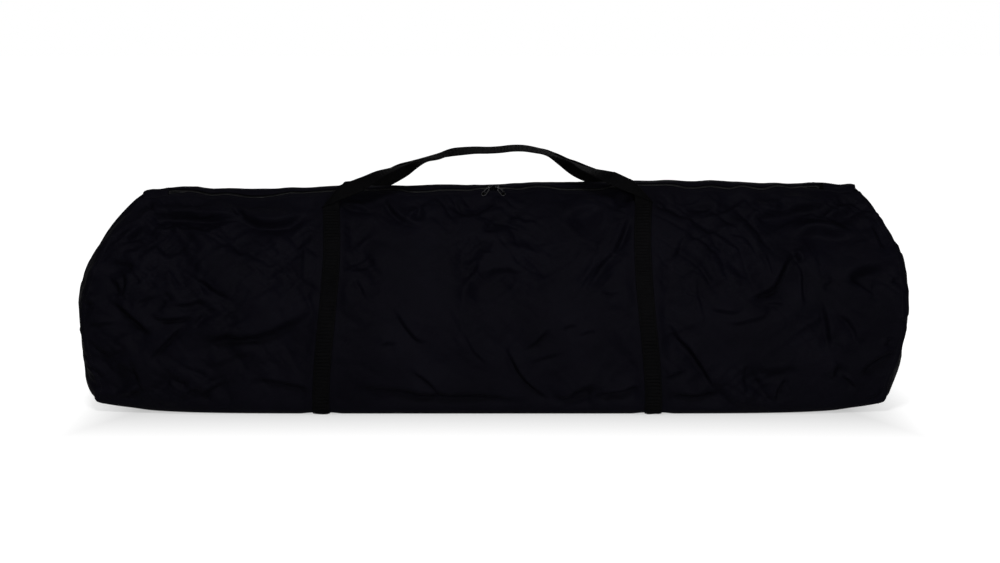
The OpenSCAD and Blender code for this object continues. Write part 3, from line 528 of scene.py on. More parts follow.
def add_mesh(name, points, faces, body, slot, material, uv=None):
    """An object from points in millimetres. It rides on body and takes its finish from material. slot is not
    used.
    """
    mesh = bpy.data.meshes.new(name)
    mesh.from_pydata((np.asarray(points, float) * MM).tolist(), [], [list(map(int, f)) for f in faces])
    mesh.validate()
    mesh.polygons.foreach_set("use_smooth", [True] * len(mesh.polygons))
    if uv is not None:
        layer = mesh.uv_layers.new(name="weave")
        index = np.zeros(len(mesh.loops), int)
        mesh.loops.foreach_get("vertex_index", index)
        layer.data.foreach_set("uv", (np.asarray(uv, float)[index] * MM).ravel())
    mesh.materials.append(material)
    piece = add_object(name, mesh)
    if body:
        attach(piece, body)
    return piece


def grid_faces(rows, cols, start=0, closed=False, flip=False):
    i, j = np.meshgrid(np.arange(rows - 1), np.arange(cols if closed else cols - 1), indexing="ij")
    i, j = i.ravel(), j.ravel()
    k = (j + 1) % cols
    quads = np.stack([i * cols + j, i * cols + k, (i + 1) * cols + k, (i + 1) * cols + j], 1) + start
    return quads[:, ::-1] if flip else quads


def tube_faces(rows, cols):
    """Faces of a closed tube: rows rings of cols points, and a face over each end."""
    ends = [list(range(cols))[::-1], [(rows - 1) * cols + j for j in range(cols)]]
    return [*grid_faces(rows, cols, closed=True), *ends]


def sheet_faces(rows, cols):
    """Faces of a closed sheet whose outer grid of points comes first and its inner grid second."""
    n = rows * cols
    grid = np.arange(n).reshape(rows, cols)
    rim = np.concatenate([grid[0], grid[1:, -1], grid[-1, :-1][::-1], grid[1:-1, 0][::-1]])
    after = np.roll(rim, -1)
    sides = np.stack([rim, rim + n, after + n, after], 1)
    return np.concatenate([grid_faces(rows, cols), grid_faces(rows, cols, n, flip=True), sides])


def add_sheet(name, outer, inner, *args, uv=None):
    rows, cols = outer.shape[:2]
    points = np.concatenate([outer.reshape(-1, 3), inner.reshape(-1, 3)])
    if uv is not None:
        uv = np.concatenate([uv.reshape(-1, 2)] * 2)
    return add_mesh(name, points, sheet_faces(rows, cols), *args, uv=uv)


# How far a band's edges thin, and how much of its outer face's relief its inner face has
EDGE_THIN, EDGE_POWER, BACK_SHARE = 0.55, 8, 0.6


def add_band(name, centre, across, out, body, face, cols, both=False):
    """Webbing swept along centre. face(w, along) gives how far its outer face stands out at w across."""
    along = lengths_along(centre)
    w = np.linspace(-1, 1, cols)
    edge = 1 - EDGE_THIN * np.abs(w) ** EDGE_POWER
    ring_w = np.concatenate([w, w[::-1]]) * WEB_W / 2
    height = np.tile(np.concatenate([edge, -edge[::-1]]) * WEB_T / 2, (len(centre), 1))
    extra = face(ring_w[None, :cols], along[:, None])
    height[:, :cols] += extra
    if both:
        height[:, cols:] -= BACK_SHARE * extra[:, ::-1]
    points = centre[:, None] + ring_w[None, :, None] * across[:, None] + height[..., None] * out[:, None]
    uv = pairs(along, ring_w)[..., ::-1]
    return add_mesh(name, points.reshape(-1, 3), tube_faces(len(centre), 2 * cols), body, "webbing", WEBBING,
                    uv=uv.reshape(-1, 2))


RING = 5
RING_TURN = (np.arange(RING) * 2 * math.pi / RING)[:, None]


def rings(centre, a, b):
    """A ring of points round each centre, which reaches as far as a and b along its two axes."""
    return centre[:, None] + np.cos(RING_TURN) * a[:, None] + np.sin(RING_TURN) * b[:, None]


# A stitch's rings: place along it, radius and how deep they sink, as shares of its length and radius
STITCH = [(-0.5, 0.35, 0.9), (-0.25, 1, 0), (0.25, 1, 0), (0.5, 0.35, 0.9)]
STITCH_FLAT = 0.7


# Pitch, length and radius of the stitches at the end seams, along the straps and beside the zip
SEAM_STITCH, STRAP_STITCH, ZIP_STITCH = (3.2, 2.3, 0.3), (3.0, 2.2, 0.3), (3.0, 2.1, 0.34)


def add_thread(name, path, out, stitch, slot, material):
    """A row of stitches along a path: each is a short bead with sunk ends."""
    pitch, length, radius = stitch
    along = lengths_along(path)
    at = np.arange(pitch / 2, along[-1], pitch)

    def sample(values, where):
        return np.stack([np.interp(where, along, values[:, k]) for k in range(3)], -1)

    direction = unit(sample(path, at + 0.5) - sample(path, at - 0.5))
    up = unit(sample(out, at))
    sideways = unit(np.cross(direction, up))
    beads = [
        rings(sample(path, at) + place_at * length * direction - sink * radius * up,
              share * radius * sideways, STITCH_FLAT * share * radius * up)
        for place_at, share, sink in STITCH
    ]
    points = np.stack(beads, 1).reshape(-1, 3)
    one = tube_faces(len(STITCH), RING)
    faces = [[v + len(STITCH) * RING * k for v in f] for k in range(len(at)) for f in one]
    return add_mesh(name, points, faces, "bag", slot, material)


# ---- Materials ----
def add_node(tree, kind, result, inputs, **settings):
    """Adds a shader node, sets or links its inputs, and returns its output named result."""
    node = tree.nodes.new("ShaderNode" + kind)
    for key, value in settings.items():
        setattr(node, key, value)
    for key, value in inputs.items():
        if isinstance(value, bpy.types.NodeSocket):
            tree.links.new(value, node.inputs[key])
        else:
            node.inputs[key].default_value = value
    return node.outputs[result]


def maths(tree, operation, a, b=0.0):
    return add_node(tree, "Math", "Value", {0: a, 1: b}, operation=operation)


def ramp(tree, value, start, end, low, high, **settings):
    """value, remapped so that start becomes low and end becomes high."""
    inputs = {"Value": value, "From Min": start, "From Max": end, "To Min": low, "To Max": high}
    return add_node(tree, "MapRange", "Result", inputs, **settings)


def split(tree, vector):
    """The three numbers of a vector."""
    return add_node(tree, "SeparateXYZ", "X", {"Vector": vector}).node.outputs


def blotches(tree, scale, low, high, detail=3):
    """A smooth noise that runs from low to high."""
    place_on = add_node(tree, "TexCoord", "Object", {})
    spots = add_node(tree, "TexNoise", "Fac", {"Vector": place_on, "Scale": scale, "Detail": detail})
    return ramp(tree, spots, 0.3, 0.7, low, high)


def tint(tree, factor, dark, light):
    inputs = {"Factor": factor, "A": (*dark, 1), "B": (*light, 1)}
    return add_node(tree, "Mix", "Result", inputs, data_type="RGBA")


def bump(tree, height, strength, distance, **under):
    inputs = {"Strength": strength, "Distance": distance, "Height": height, **under}
    return add_node(tree, "Bump", "Normal", inputs)


def plain_weave(tree, pitch):
    """Height of a plain weave on the weave coordinates: threads cross over and under."""
    uv = split(tree, add_node(tree, "UVMap", "UV", {}, uv_map="weave"))
    phases = [maths(tree, "MULTIPLY", uv[k], math.pi / pitch) for k in (0, 1)]
    rounds = [maths(tree, "ABSOLUTE", maths(tree, "SINE", phase)) for phase in phases]
    crossing = maths(tree, "MULTIPLY", *[maths(tree, "COSINE", phase) for phase in phases])
    return maths(tree, "ADD", maths(tree, "MULTIPLY", crossing, 0.5), maths(tree, "MULTIPLY", *rounds))


def shader(name, color, rough, specular):
    """A material, its node tree and the inputs of its Principled shader."""
    material = bpy.data.materials.new(name)
    material.use_nodes = True
    inputs = material.node_tree.nodes["Principled BSDF"].inputs
    for key, value in (("Base Color", (*color, 1)), ("Roughness", rough), ("Specular IOR Level", specular)):
        inputs[key].default_value = value
    return material, material.node_tree, inputs


# How much of cloth's colour variation is fine
LINT = 0.25


def woven(name, dark, light, rough, pitch, depth, specular):
    """Woven cloth: broad and fine colour variation, fuzz, and the height of its weave."""
    material, tree, inputs = shader(name, light, rough, specular)
    broad = blotches(tree, 14, 0, 1 - LINT)
    fine = blotches(tree, 520, -LINT, 2 * LINT, detail=4)
    tree.links.new(tint(tree, maths(tree, "ADD", broad, fine), dark, light), inputs["Base Color"])
    fuzz = bump(tree, blotches(tree, 900, 0, 1, detail=2), 0.35, 0.0002)
    tree.links.new(bump(tree, plain_weave(tree, pitch), 0.6, depth, Normal=fuzz), inputs["Normal"])
    return material


def moulded(name, dark, light, rough, grain, specular, patch=35, worn=(60, 0.06, 0.08), deep=(0.25, 0.0002)):
    """Plastic, rubber, powder coat or enamel: uneven colour, patches of wear, and a fine grain."""
    material, tree, inputs = shader(name, light, rough, specular)
    tree.links.new(tint(tree, blotches(tree, patch, 0, 1), dark, light), inputs["Base Color"])
    tree.links.new(blotches(tree, worn[0], rough - worn[1], rough + worn[2]), inputs["Roughness"])
    tree.links.new(bump(tree, blotches(tree, grain, 0, 1, detail=2), *deep), inputs["Normal"])
    return material


CLOTH = woven("cloth", (0.00144, 0.00130, 0.00262), (0.00228, 0.00207, 0.0040), 0.55, 0.00055, 0.00012, 0.02)
WEBBING = woven("webbing", (0.0009, 0.0009, 0.0011), (0.0019, 0.0018, 0.0021), 0.6, 0.0011, 0.0003, 0.02)
TAPE = woven("zip_tape", (0.0015, 0.0015, 0.0020), (0.0026, 0.0025, 0.0030), 0.7, 0.0005, 0.00012, 0.03)
THREAD = moulded("thread", (0.0045, 0.0045, 0.0055), (0.0085, 0.0085, 0.0095), 0.6, 2500, 0.04)
DARK_THREAD = moulded("dark_thread", (0.0006, 0.0006, 0.0008), (0.0012, 0.0012, 0.0014), 0.7, 2500, 0.02)
COIL = moulded("coil", (0.004, 0.004, 0.0046), (0.008, 0.008, 0.0088), 0.4, 900, 0.35)
ENAMEL = moulded("black_enamel", (0.0002, 0.0002, 0.0002), (0.0006, 0.0006, 0.0007), 0.3, 1600, 0.03,
                 patch=260, worn=(420, 0.08, 0.14), deep=(0.12, 0.00008))
# A lighter grey for the pulls' softened edges: a painted highlight along them
PAINTED_EDGE_HIGHLIGHT = moulded("painted_edge_highlight", (0.03, 0.03, 0.031), (0.16, 0.16, 0.165), 0.45, 900, 0.3)
STEEL = moulded("rim_steel", (0.012, 0.012, 0.013), (0.022, 0.022, 0.023), 0.35, 700, 0.5)
LEG = moulded("leg_plastic", (0.76, 0.60, 0.035), (0.88, 0.70, 0.055), 0.42, 1400, 0.45)
RUBBER = moulded("foot_rubber", (0.006, 0.006, 0.006), (0.011, 0.011, 0.011), 0.75, 1800, 0.3)
NET = woven("net_cord", (0.010, 0.010, 0.011), (0.022, 0.022, 0.024), 0.8, 0.0012, 0.0004, 0.2)
HOOK = moulded("hook_plastic", (0.008, 0.008, 0.009), (0.014, 0.014, 0.015), 0.4, 1600, 0.45)
BALL = moulded("ball_rubber", (0.62, 0.46, 0.02), (0.75, 0.58, 0.03), 0.45, 260, 0.4)


# ---- Bag cloth ----
ZIP_WANDER, WANDER_REACH, HUMP_REACH = 3.2, 38, 60
# How far the zip sinks below the straight ridge: distance from the middle, and depth
ZIP_SINKS = [
    (-540, 0), (-515, -1.5), (-484, -1.5), (-461, -2), (-430, 1.5), (-404, 0), (-358, 4.5), (-314, 0),
    (-299, -1), (-160, -1), (-129, 3), (-98, 3), (-83, 1.5), (-44, 3), (33, 1.5), (52, -0.5), (67, -2),
    (81, -1), (90, 0.5), (103, 2.8), (134, 4), (160, 4.5), (191, 0), (265, -1.5), (297, 2.5), (331, -0.5),
    (359, 2.5), (378, -2), (396, 0.5), (412, 2), (433, -2.5), (452, 0), (464, 1), (477, 1.5), (489, 0),
    (501, -1.5), (514, -2), (540, 0),
]
SINK_REACH, SINK_REACH_REAR, SINK_ENDS = 18, 5, 15
# How the ridge rises and sinks along the bag: distance from the middle, and height
RIDGE_HUMPS = [
    (-620, -8), (-560, -6.5), (-543, -5.5), (-515, -3), (-505, -1), (-467, -1), (-450, -4), (-430, -6),
    (-382, -7.5), (-342, -6), (-262, -4.5), (-222, -3), (-150, -1.5), (-60, -0.8), (-30, 0), (30, 0),
    (60, 0.5), (190, 1.5), (260, 2.5), (300, 1.5), (340, -1), (381, -2), (421, -2), (452, -2.5), (468, -1),
    (504, -1), (520, -3), (557, -4), (620, -6),
]
ALONG_SLIT = np.array([0, SLIT_DIR[0], SLIT_DIR[1]])
OUT_OF_SLIT = np.array([0, SLIT_NORMAL[0], SLIT_NORMAL[1]])


def zip_shift(x, s):
    """How the zip and the cloth beside it wander along the slit's plane, and rise and sink."""
    x, s = np.broadcast_arrays(x, s)
    away = to_zip(s)
    move = ZIP_WANDER * zip_wave(x, 44) * np.exp(-(away / WANDER_REACH) ** 2)
    hump = np.interp(x, *np.transpose(RIDGE_HUMPS)) * np.exp(-(away / HUMP_REACH) ** 2)
    reach = np.where(s < GIRTH / 2, SINK_REACH, SINK_REACH_REAR)
    sink = np.interp(x, *smooth_line(ZIP_SINKS).T) * np.exp(-(away / reach) ** 2)
    sink = sink * ease((RIDGE_LEN / 2 - SINK_ENDS - np.abs(x)) / (2 * SINK_ENDS)) * off_stops(x, 16, 26)
    return move[..., None] * ALONG_SLIT + (hump - sink)[..., None] * np.array([0, 0, 1.0])


# Beside the chain the cloth's edges reach in over the teeth, less so where the sliders rest and stop
LIP_IN, LIP_FADE, LIP_RISE, LIP_THIN = (5.0, 4.0), 6.0, 0.3, 0.8


def lip_reach(x, s):
    """From 0 to 1: how far the cloth's edge at a point reaches in over the teeth."""
    x, s = np.broadcast_arrays(x, s)
    reach = ease((LIP_FADE - to_zip(s)) / LIP_FADE) * ease((CHAIN_LEN / 2 - np.abs(x)) / 6)
    return reach * off_stops(x, 11, 6, 0.5)


def lip_shift(x, s):
    reach = lip_reach(x, s)
    inward = np.where(s < GIRTH / 2, LIP_IN[0], -LIP_IN[1]) * reach
    return inward[..., None] * ALONG_SLIT + LIP_RISE * reach[..., None] * OUT_OF_SLIT


def cloth_at(x, s, off=0.0):
    """A point of the finished cloth's face, moved inward by off."""
    return skin_at(x, s, off - relief(x, s)) + zip_shift(x, s) + lip_shift(x, s)


FRONT_LOW = float(front_arc(8))
STEP_X, STEP_FRONT, STEP_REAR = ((2.7, 2.4, 5.5))
SEAM_TURN, SEAM_DEEP = 4.5, 1.9


def section_steps():
    """Arc lengths of the cloth's rows, finest down the front."""
    front = np.arange(0, FRONT_LOW, STEP_FRONT)
    rest = np.linspace(FRONT_LOW, GIRTH, int((GIRTH - FRONT_LOW) / STEP_REAR))
    edge = np.array([1.5, 3])
    return np.unique(np.concatenate([front, edge, rest, GIRTH - edge]))


def share_steps():
    """Shares of the half length of the cloth's columns, finest at the end seams."""
    half = SEAM_LEN / 2
    inner = np.linspace(-1 + 6 / half, 1 - 6 / half, int(2 * half / STEP_X))
    ends = 1 - np.array([0, 0.8, 1.8, 3.0, 4.4]) / half
    return np.unique(np.concatenate([-ends, inner, ends]))


def bag_cloth():
    u, s = np.meshgrid(share_steps(), section_steps(), indexing="ij")
    half = half_len(height_at(s))
    x = u * half
    lift = relief(x, s)
    # The ends turn inward into the seam
    near = np.clip(1 - (1 - np.abs(u)) * half / SEAM_TURN, 0, 1)
    turn_in = SEAM_DEEP * (1 - np.sqrt(1 - near ** 2))
    drift = zip_shift(x, s) + lip_shift(x, s)
    outer = skin(u, s, turn_in - lift) + drift
    inner = skin(u, s, turn_in - lift + CLOTH_T - LIP_THIN * lip_reach(x, s)) + drift
    outer[..., 2] = np.maximum(outer[..., 2], 0.1)
    piece = add_sheet("bag_cloth", outer, inner, "bag", "cloth", CLOTH, uv=np.stack([x, s], -1))
    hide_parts("body_panel")


DOME_RINGS = [1, 0.985, 0.965, 0.94, 0.91, 0.87, 0.83, 0.78, 0.72, 0.65, 0.57, 0.48, 0.38, 0.27, 0.15, 0.05]
# Swellings and puckers of the end cloths as height, size and first seed, and how far the ends belly out
END_SWELLS, END_FOLD, END_PUCKER, END_SINK, END_BELLY = [(3.5, 60, 52), (1.4, 27, 54)], 2.2, 2.4, 1.5, 3.0
# Shares of the way from the rim to the middle over which the swellings, the belly and the puckers set in
SWELL_IN, BELLY_IN, PUCKER_IN = 0.12, 0.06, 0.03


def end_cloth(side):
    s = np.linspace(0, GIRTH, 230)
    r = np.array(DOME_RINGS)[:, None]
    rim = skin(side, s, SEAM_DEEP + LAY_GAP - relief(side * half_len(height_at(s)), s))
    rim += zip_shift(rim[:, 0], s)
    tip = side * (SEAM_LEN / 2 + END_BULGE)
    y, z = rim[:, 1] * r, mix(LONG_H, rim[:, 2], r)
    swell = sum(height * noise(y, z, size, seed + side) for height, size, seed in END_SWELLS)
    swell += END_FOLD * (0.4 - np.abs(noise(*turned(y, z, 55 * side, 3), 30, 56 + side)))
    long_s = s[None, :] + 0 * r
    pucker = noise(long_s, 20 * r + side, 15, 50) + 0.6 * noise(long_s, 30 * r + side, 8, 51)
    out = swell * ease((1 - r) / SWELL_IN) - END_SINK + END_BELLY * ease((1 - r) / BELLY_IN) * r
    out += END_PUCKER * pucker * np.exp(-(1 - r) / SWELL_IN) * ease((1 - r) / PUCKER_IN)
    points = [np.stack([mix(tip, rim[:, 0], r * r) + side * (out - k * CLOTH_T), y, z], -1) for k in (0, 1)]
    rows, cols = points[0].shape[:2]
    count = rows * cols
    last = count - cols
    j = np.arange(cols)
    k = (j + 1) % cols
    caps = [[last + a, last + b, 2 * count] for a, b in zip(j, k)]
    caps += [[count + last + b, count + last + a, 2 * count + 1] for a, b in zip(j, k)]
    faces = [
        *grid_faces(rows, cols, closed=True).tolist(),
        *grid_faces(rows, cols, count, closed=True, flip=True).tolist(),
        *np.stack([j, j + count, k + count, k], 1).tolist(), *caps,
    ]
    if side > 0:
        faces = [f[::-1] for f in faces]
    flat = np.concatenate([*[p.reshape(-1, 3) for p in points], [p[-1].mean(0) for p in points]])
    piece = add_mesh("end_cloth_" + side_name(side), flat, faces, "bag", "cloth", CLOTH, uv=flat[:, 1:])
    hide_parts("end_panel_" + side_name(side))


# How far the topstitching is from the end seam, and its ends from the slit
THREAD_IN, THREAD_END = 7, 8


def seam_thread(side):
    """Topstitching beside an end seam."""
    s = np.arange(THREAD_END, GIRTH - THREAD_END, 2.0)
    half = half_len(height_at(s))
    u = side * (1 - THREAD_IN / half)
    lift = relief(u * half, s)
    path = skin(u, s, -lift - 0.1)
    path += zip_shift(path[:, 0], s)
    out = path - skin(u, s, -lift + 1)
    add_thread("seam_thread_" + side_name(side), path, out, SEAM_STITCH, "cloth", THREAD)


# ---- Straps ----
STRAP_RIB, RIB_H = 5.3, 0.85
# The stitches along a strap: distance from its middle, and the groove that they press
STITCH_AT, GROOVE, GROOVE_W = 9.6, 0.3, 0.7
# Room under a strap for the ribs of its face
STRAP_OFF_FLOOR = 1.15


def ribbed(seed):
    """The face of webbing with uneven ribs across it and a groove along each edge."""
    def face(w, along):
        wander = 1.1 * noise(along, 0 * along, 16, seed) + 0.5 * noise(w, along, 9, seed + 1)
        ribs = np.cos(2 * math.pi * (along + wander) / STRAP_RIB)
        uneven = 0.7 + 0.5 * noise(along, w, 14, seed + 2)
        inside = ease((WEB_W / 2 - 1.5 - np.abs(w)) / 2)
        groove = GROOVE * np.exp(-((np.abs(w) - STITCH_AT) / GROOVE_W) ** 2)
        return (RIB_H * ribs * uneven * inside - groove) * ease(along / 4)
    return face


def strap(side):
    name = side_name(side)
    s = np.arange(*BELOW_FEET, 1.1)
    x = STRAP_SHIFT + side * strap_x(height_at(s))
    centre = cloth_at(x, s, -LAY_GAP - WEB_T / 2)
    across = unit(skin_at(x + 1, s) - skin_at(x - 1, s))
    out = unit(skin_at(x, s, -1) - skin_at(x, s))
    centre[:, 2] = np.maximum(centre[:, 2], WEB_T / 2 + STRAP_OFF_FLOOR)
    piece = add_band("strap_" + name + "_webbing", centre, across, out, "bag", ribbed(60 + side), 23)
    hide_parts("strap_" + name)
    for edge in (-1, 1):
        line = centre + edge * STITCH_AT * across + (WEB_T / 2 + 0.05) * out
        thread = "strap_thread_%s_%s" % (name, "in" if edge * side < 0 else "out")
        add_thread(thread, line, out, STRAP_STITCH, "webbing", DARK_THREAD)


# ---- Handles ----
# Each row of a handle's run as (x, y, z, lean): lean is the webbing's angle from level in degrees,
# positive where its outer edge hangs lower
FRONT_RUN = [
    (-213, -41, 332.5, 58), (-193, -39, 342, 41), (-174, -36, 352.5, 23), (-156, -32, 359, 10),
    (-135, -26, 366, -3), (-119, -22, 372, -6), (-105, -19, 376, -2), (-86, -15, 379, 9),
    (-67, -13, 384, 22), (-55, -13, 386, 25), (-29, -12, 388, 22), (-8, -12, 388, 20),
    (10, -12, 389, 20), (28, -12, 391, 20), (46, -13, 391, 19), (65, -14, 388, 16), (78, -16, 385, 10),
    (90, -18, 381, 2), (101, -20, 377, -6), (116, -24, 372, -8), (135, -29, 362, 8), (153, -33, 356, 20),
    (172, -37, 350, 38), (190, -40, 344, 56),
]
REAR_RUN = [
    (-216, 41, 322, 82), (-192, 38, 331, 84), (-168, 33, 340, 82), (-145, 28, 352, 67), (-126, 23, 362, 36),
    (-107, 19, 370.5, 19), (-87, 15, 375.8, 23), (-68, 13, 382.5, 22), (-56, 13, 386, 22), (-30, 12, 387, 20),
    (-8, 12, 387, 20), (10, 12, 387, 20), (28, 12, 390, 20), (47, 13, 390, 20),
    (65, 14, 386, 22), (79, 16, 383, 22), (93, 18, 377, 24), (109, 22, 367, 36), (121, 25, 360, 55),
    (134, 28, 353, 72), (153, 32, 345, 82), (181, 38, 335, 84), (200, 41, 329, 82),
]
# Where the upper end of each diagonal fold is, as (x, y, z), by side and end
FOLD_TOPS = {
    (-1, -1): (-231, -38, 336), (-1, 1): (209, -41, 344),
    (1, -1): (-231, 40, 334), (1, 1): (213, 42, 338),
}
FOLD_BEND, FOLD_GAP, FOOT_START = 0.8, 0.5, 302


def foot_rows(side, end, towards):
    """Rows of a handle's foot from the strap to the far side of its diagonal fold.

    Each row holds the two edges of the webbing, outer edge first, and the way that it runs.
    """
    arcs = [float(front_arc(z) if side < 0 else rear_arc(z)) for z in (FOOT_START, HANDLE_FOOT_H)]
    rows = []
    for arc in arcs:
        x = STRAP_SHIFT + end * strap_x(height_at(arc))
        edges = [cloth_at(x + end * w * WEB_W / 2, arc, -LAY_GAP - WEB_T / 2).ravel() for w in (1, -1)]
        rows.append(edges)
    outward = unit(skin_at(x, arcs[1], -1) - skin_at(x, arcs[1], 0)).ravel()
    up = unit(rows[1][0] - rows[0][0])
    tip, top = rows[1][0] + up, np.array(FOLD_TOPS[side, end], float)
    out_of_fold = unit(np.cross(top - tip, outward))
    out_of_fold *= np.sign(out_of_fold @ up)
    step = (WEB_T + FOLD_GAP) * outward
    bent = step / 2 + FOLD_BEND * out_of_fold
    run = unit(np.array(towards, float) - (tip + top) / 2)
    folded = [
        (*rows[0], up), (rows[1][0], mix(rows[1][1], top, 0.3), up), (tip, top, up),
        (tip + bent, top + bent, outward), (tip + step, top + step, run),
    ]
    return [np.concatenate(row) for row in folded]


def handle(name, run, side):
    """A handle: webbing that folds over its strap at each end, and runs free between."""
    free = smooth_line(run, 4)
    mid = free[:, :3]
    along = unit(np.gradient(mid, axis=0))
    lean = np.radians(free[:, 3:])
    level = unit(np.cross(along, [0.0, 0.0, 1.0]))
    level *= side * np.sign(level[:, 1:2])
    rise = np.cross(along, level)
    rise *= np.sign(rise[:, 2:3])
    half = (np.cos(lean) * level - np.sin(lean) * rise) * WEB_W / 2
    left, right = foot_rows(side, -1, run[0][:3]), foot_rows(side, 1, run[-1][:3])
    outer = [left[-1][:6], *np.concatenate([mid + half, mid - half], 1)[2:-2], right[-1][:6]]
    free_edges = smooth_line(outer, 3)
    edges = np.concatenate([[row[:6] for row in left[:-1]], free_edges, [row[:6] for row in right[-2::-1]]])
    centre = (edges[:, :3] + edges[:, 3:]) / 2
    across = (edges[:, :3] - edges[:, 3:]) / WEB_W
    along = np.gradient(centre, axis=0)
    count = len(left) - 1
    along[:count] = [row[6:] for row in left[:-1]]
    along[-count:] = [-row[6:] for row in right[-2::-1]]
    out = unit(np.cross(along, across))
    piece = add_band(name + "_webbing", centre, across, out, None, ribbed(70 + side), 17, both=True)
    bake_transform(piece)
    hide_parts(name)


# ---- Zip ----
RIDGE_TILT = math.atan(RIDGE_RISE / RIDGE_LEN)
COIL_PITCH, COIL_R, COIL_TURN = 1.6, 0.42, 10
TAPE_HALF_LEN = RIDGE_LEN / 2 - TAPE_END


def on_ridge(p):
    """Turns points about the middle of the zip, so that they follow the ridge's rise."""
    c, s = math.cos(RIDGE_TILT), math.sin(RIDGE_TILT)
    x, y, z = p[..., 0], p[..., 1], p[..., 2] - ZIP_MID[1]
    return np.stack([x * c - z * s, y, x * s + z * c + ZIP_MID[1]], -1)


def in_zip(x, y, z):
    """Points of the zip's own frame: x along the chain, z out of it."""
    x, y, z = np.broadcast_arrays(x, y, z)
    c, s = SLIT_DIR
    return on_ridge(np.stack([x, y * c - z * s + ZIP_MID[0], y * s + z * c + ZIP_MID[1]], -1))


# The chain's rise between the sliders' places, and the tape's arc lengths under the cloth
CHAIN_RISE, UNDER_CLOTH = 0.9, np.array([2.5, 5, 7.5, 10.1])


def zip_lift(x):
    """Height of the zip out of its plane: small waves, and a little more between the sliders' places."""
    return ZIP_LIFT * zip_wave(x, 40) + CHAIN_RISE * lip_reach(x, 0 * x)


def zip_tape(name, side):
    x = np.arange(-TAPE_HALF_LEN, TAPE_HALF_LEN + 1, 4.0)
    near = 0.0 if side < 0 else GIRTH
    steps = near - side * UNDER_CLOTH
    under = along_section(SECTION, steps) + (TAPE_SEAT + TAPE_T / 2) * along_section(INWARD, steps)
    flat = ZIP_MID + side * np.array([[ROW_OUT - 0.8], [ROW_OUT], [FLAT_END]]) * SLIT_DIR
    line = np.concatenate([flat, under])
    arcs = np.concatenate([[near] * len(flat), steps])
    below = len(flat)
    normal = normals(line) * side
    layers = []
    for off in (TAPE_T / 2, -TAPE_T / 2):
        grid = np.zeros((len(x), len(line), 3))
        grid[..., 0] = x[:, None]
        grid[..., 1:] = line + off * normal
        grid = on_ridge(grid) + zip_shift(x[:, None], arcs)
        grid[:, :below, 1:] += zip_lift(x)[:, None, None] * SLIT_NORMAL
        grid[:, below:, 1:] -= relief(x[:, None], steps[None, :])[..., None] * along_section(INWARD, steps)
        layers.append(grid[:, ::-side])
    uv = pairs(x, np.arange(len(line)) * 2.2)
    piece = add_sheet(name + "_cloth", *layers, "bag", "zip_tape", TAPE, uv=uv)
    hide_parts(name)


# Where the rows stand apart: half lengths at the middle and at a stop, and the way over which they part.
# How far past the middle a loop reaches where they mesh, and how far short of ROW_OUT it turns
APART_MIDDLE, APART_STOP, PART_OVER, MESH_PAST, TURN_SHORT = 11.5, 9, 2, 0.5, 0.4


def zip_coil(name, side):
    """One side of the zip: a helix of filament whose loops reach between those of the other side."""
    turns = CHAIN_LEN / COIL_PITCH - 2
    t = np.arange(0, turns * COIL_TURN) / COIL_TURN
    x = (t - turns / 2) * COIL_PITCH + (COIL_PITCH / 2 if side > 0 else 0)
    past = np.abs(x) - APART_MIDDLE, np.abs(np.abs(x) - STRAIGHT_AT[1]) - APART_STOP
    reach = mix(-MESH_PAST, ROW_IN, ease(-np.minimum(*past) / PART_OVER))
    outside = ROW_OUT - TURN_SHORT
    middle, wide = (outside + reach) / 2, (outside - reach) / 2
    angle = 2 * math.pi * t
    path = in_zip(x, side * (middle + wide * np.cos(angle)), (TOOTH_T / 2 - COIL_R) * np.sin(angle))
    path += zip_shift(x, 0 * x)
    path[:, 1:] += zip_lift(x)[:, None] * SLIT_NORMAL
    along = unit(np.gradient(path, axis=0))
    up = unit(np.cross(along, [1.0, 0, 0]))
    points = rings(path, COIL_R * up, COIL_R * np.cross(along, up))
    faces = tube_faces(len(path), RING)
    piece = add_mesh(name + "_coil", points.reshape(-1, 3), faces, "bag", "zip_coil", COIL)
    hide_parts(name)


# The rows and their distance from the slit, and how far from the ridge's ends they stop
STITCH_ROWS, ROW_END = (("near", 2.2), ("far", 3.8)), 10


def zip_stitching(name, side):
    """Twin rows of stitches that hold a tape under the cloth."""
    x = np.arange(ROW_END - RIDGE_LEN / 2, RIDGE_LEN / 2 - ROW_END, 1.5)
    for row, away in STITCH_ROWS:
        s = np.full_like(x, away if side < 0 else GIRTH - away)
        over = 0.12 + TAB_EDGE * ease((np.abs(x) - TAB_FROM + 1) / 3)
        path = cloth_at(x, s, -over)
        out = path - cloth_at(x, s, 1 - over)
        add_thread(name + "_" + row, path, out, ZIP_STITCH, "zip_tape", THREAD)


TAB_FROM, TAB_TO, TAB_LAP, TAB_EDGE, TAB_CROWN, TAB_T = 499, 543, 3.5, 0.3, 1.1, 1.2
# Unevenness of a tab, how deep its end is tucked in, and where it starts to rise over the ridge's end
TAB_SWELL, TAB_TUCK, TAB_RISE_AT = 1.6, 1.2, 518


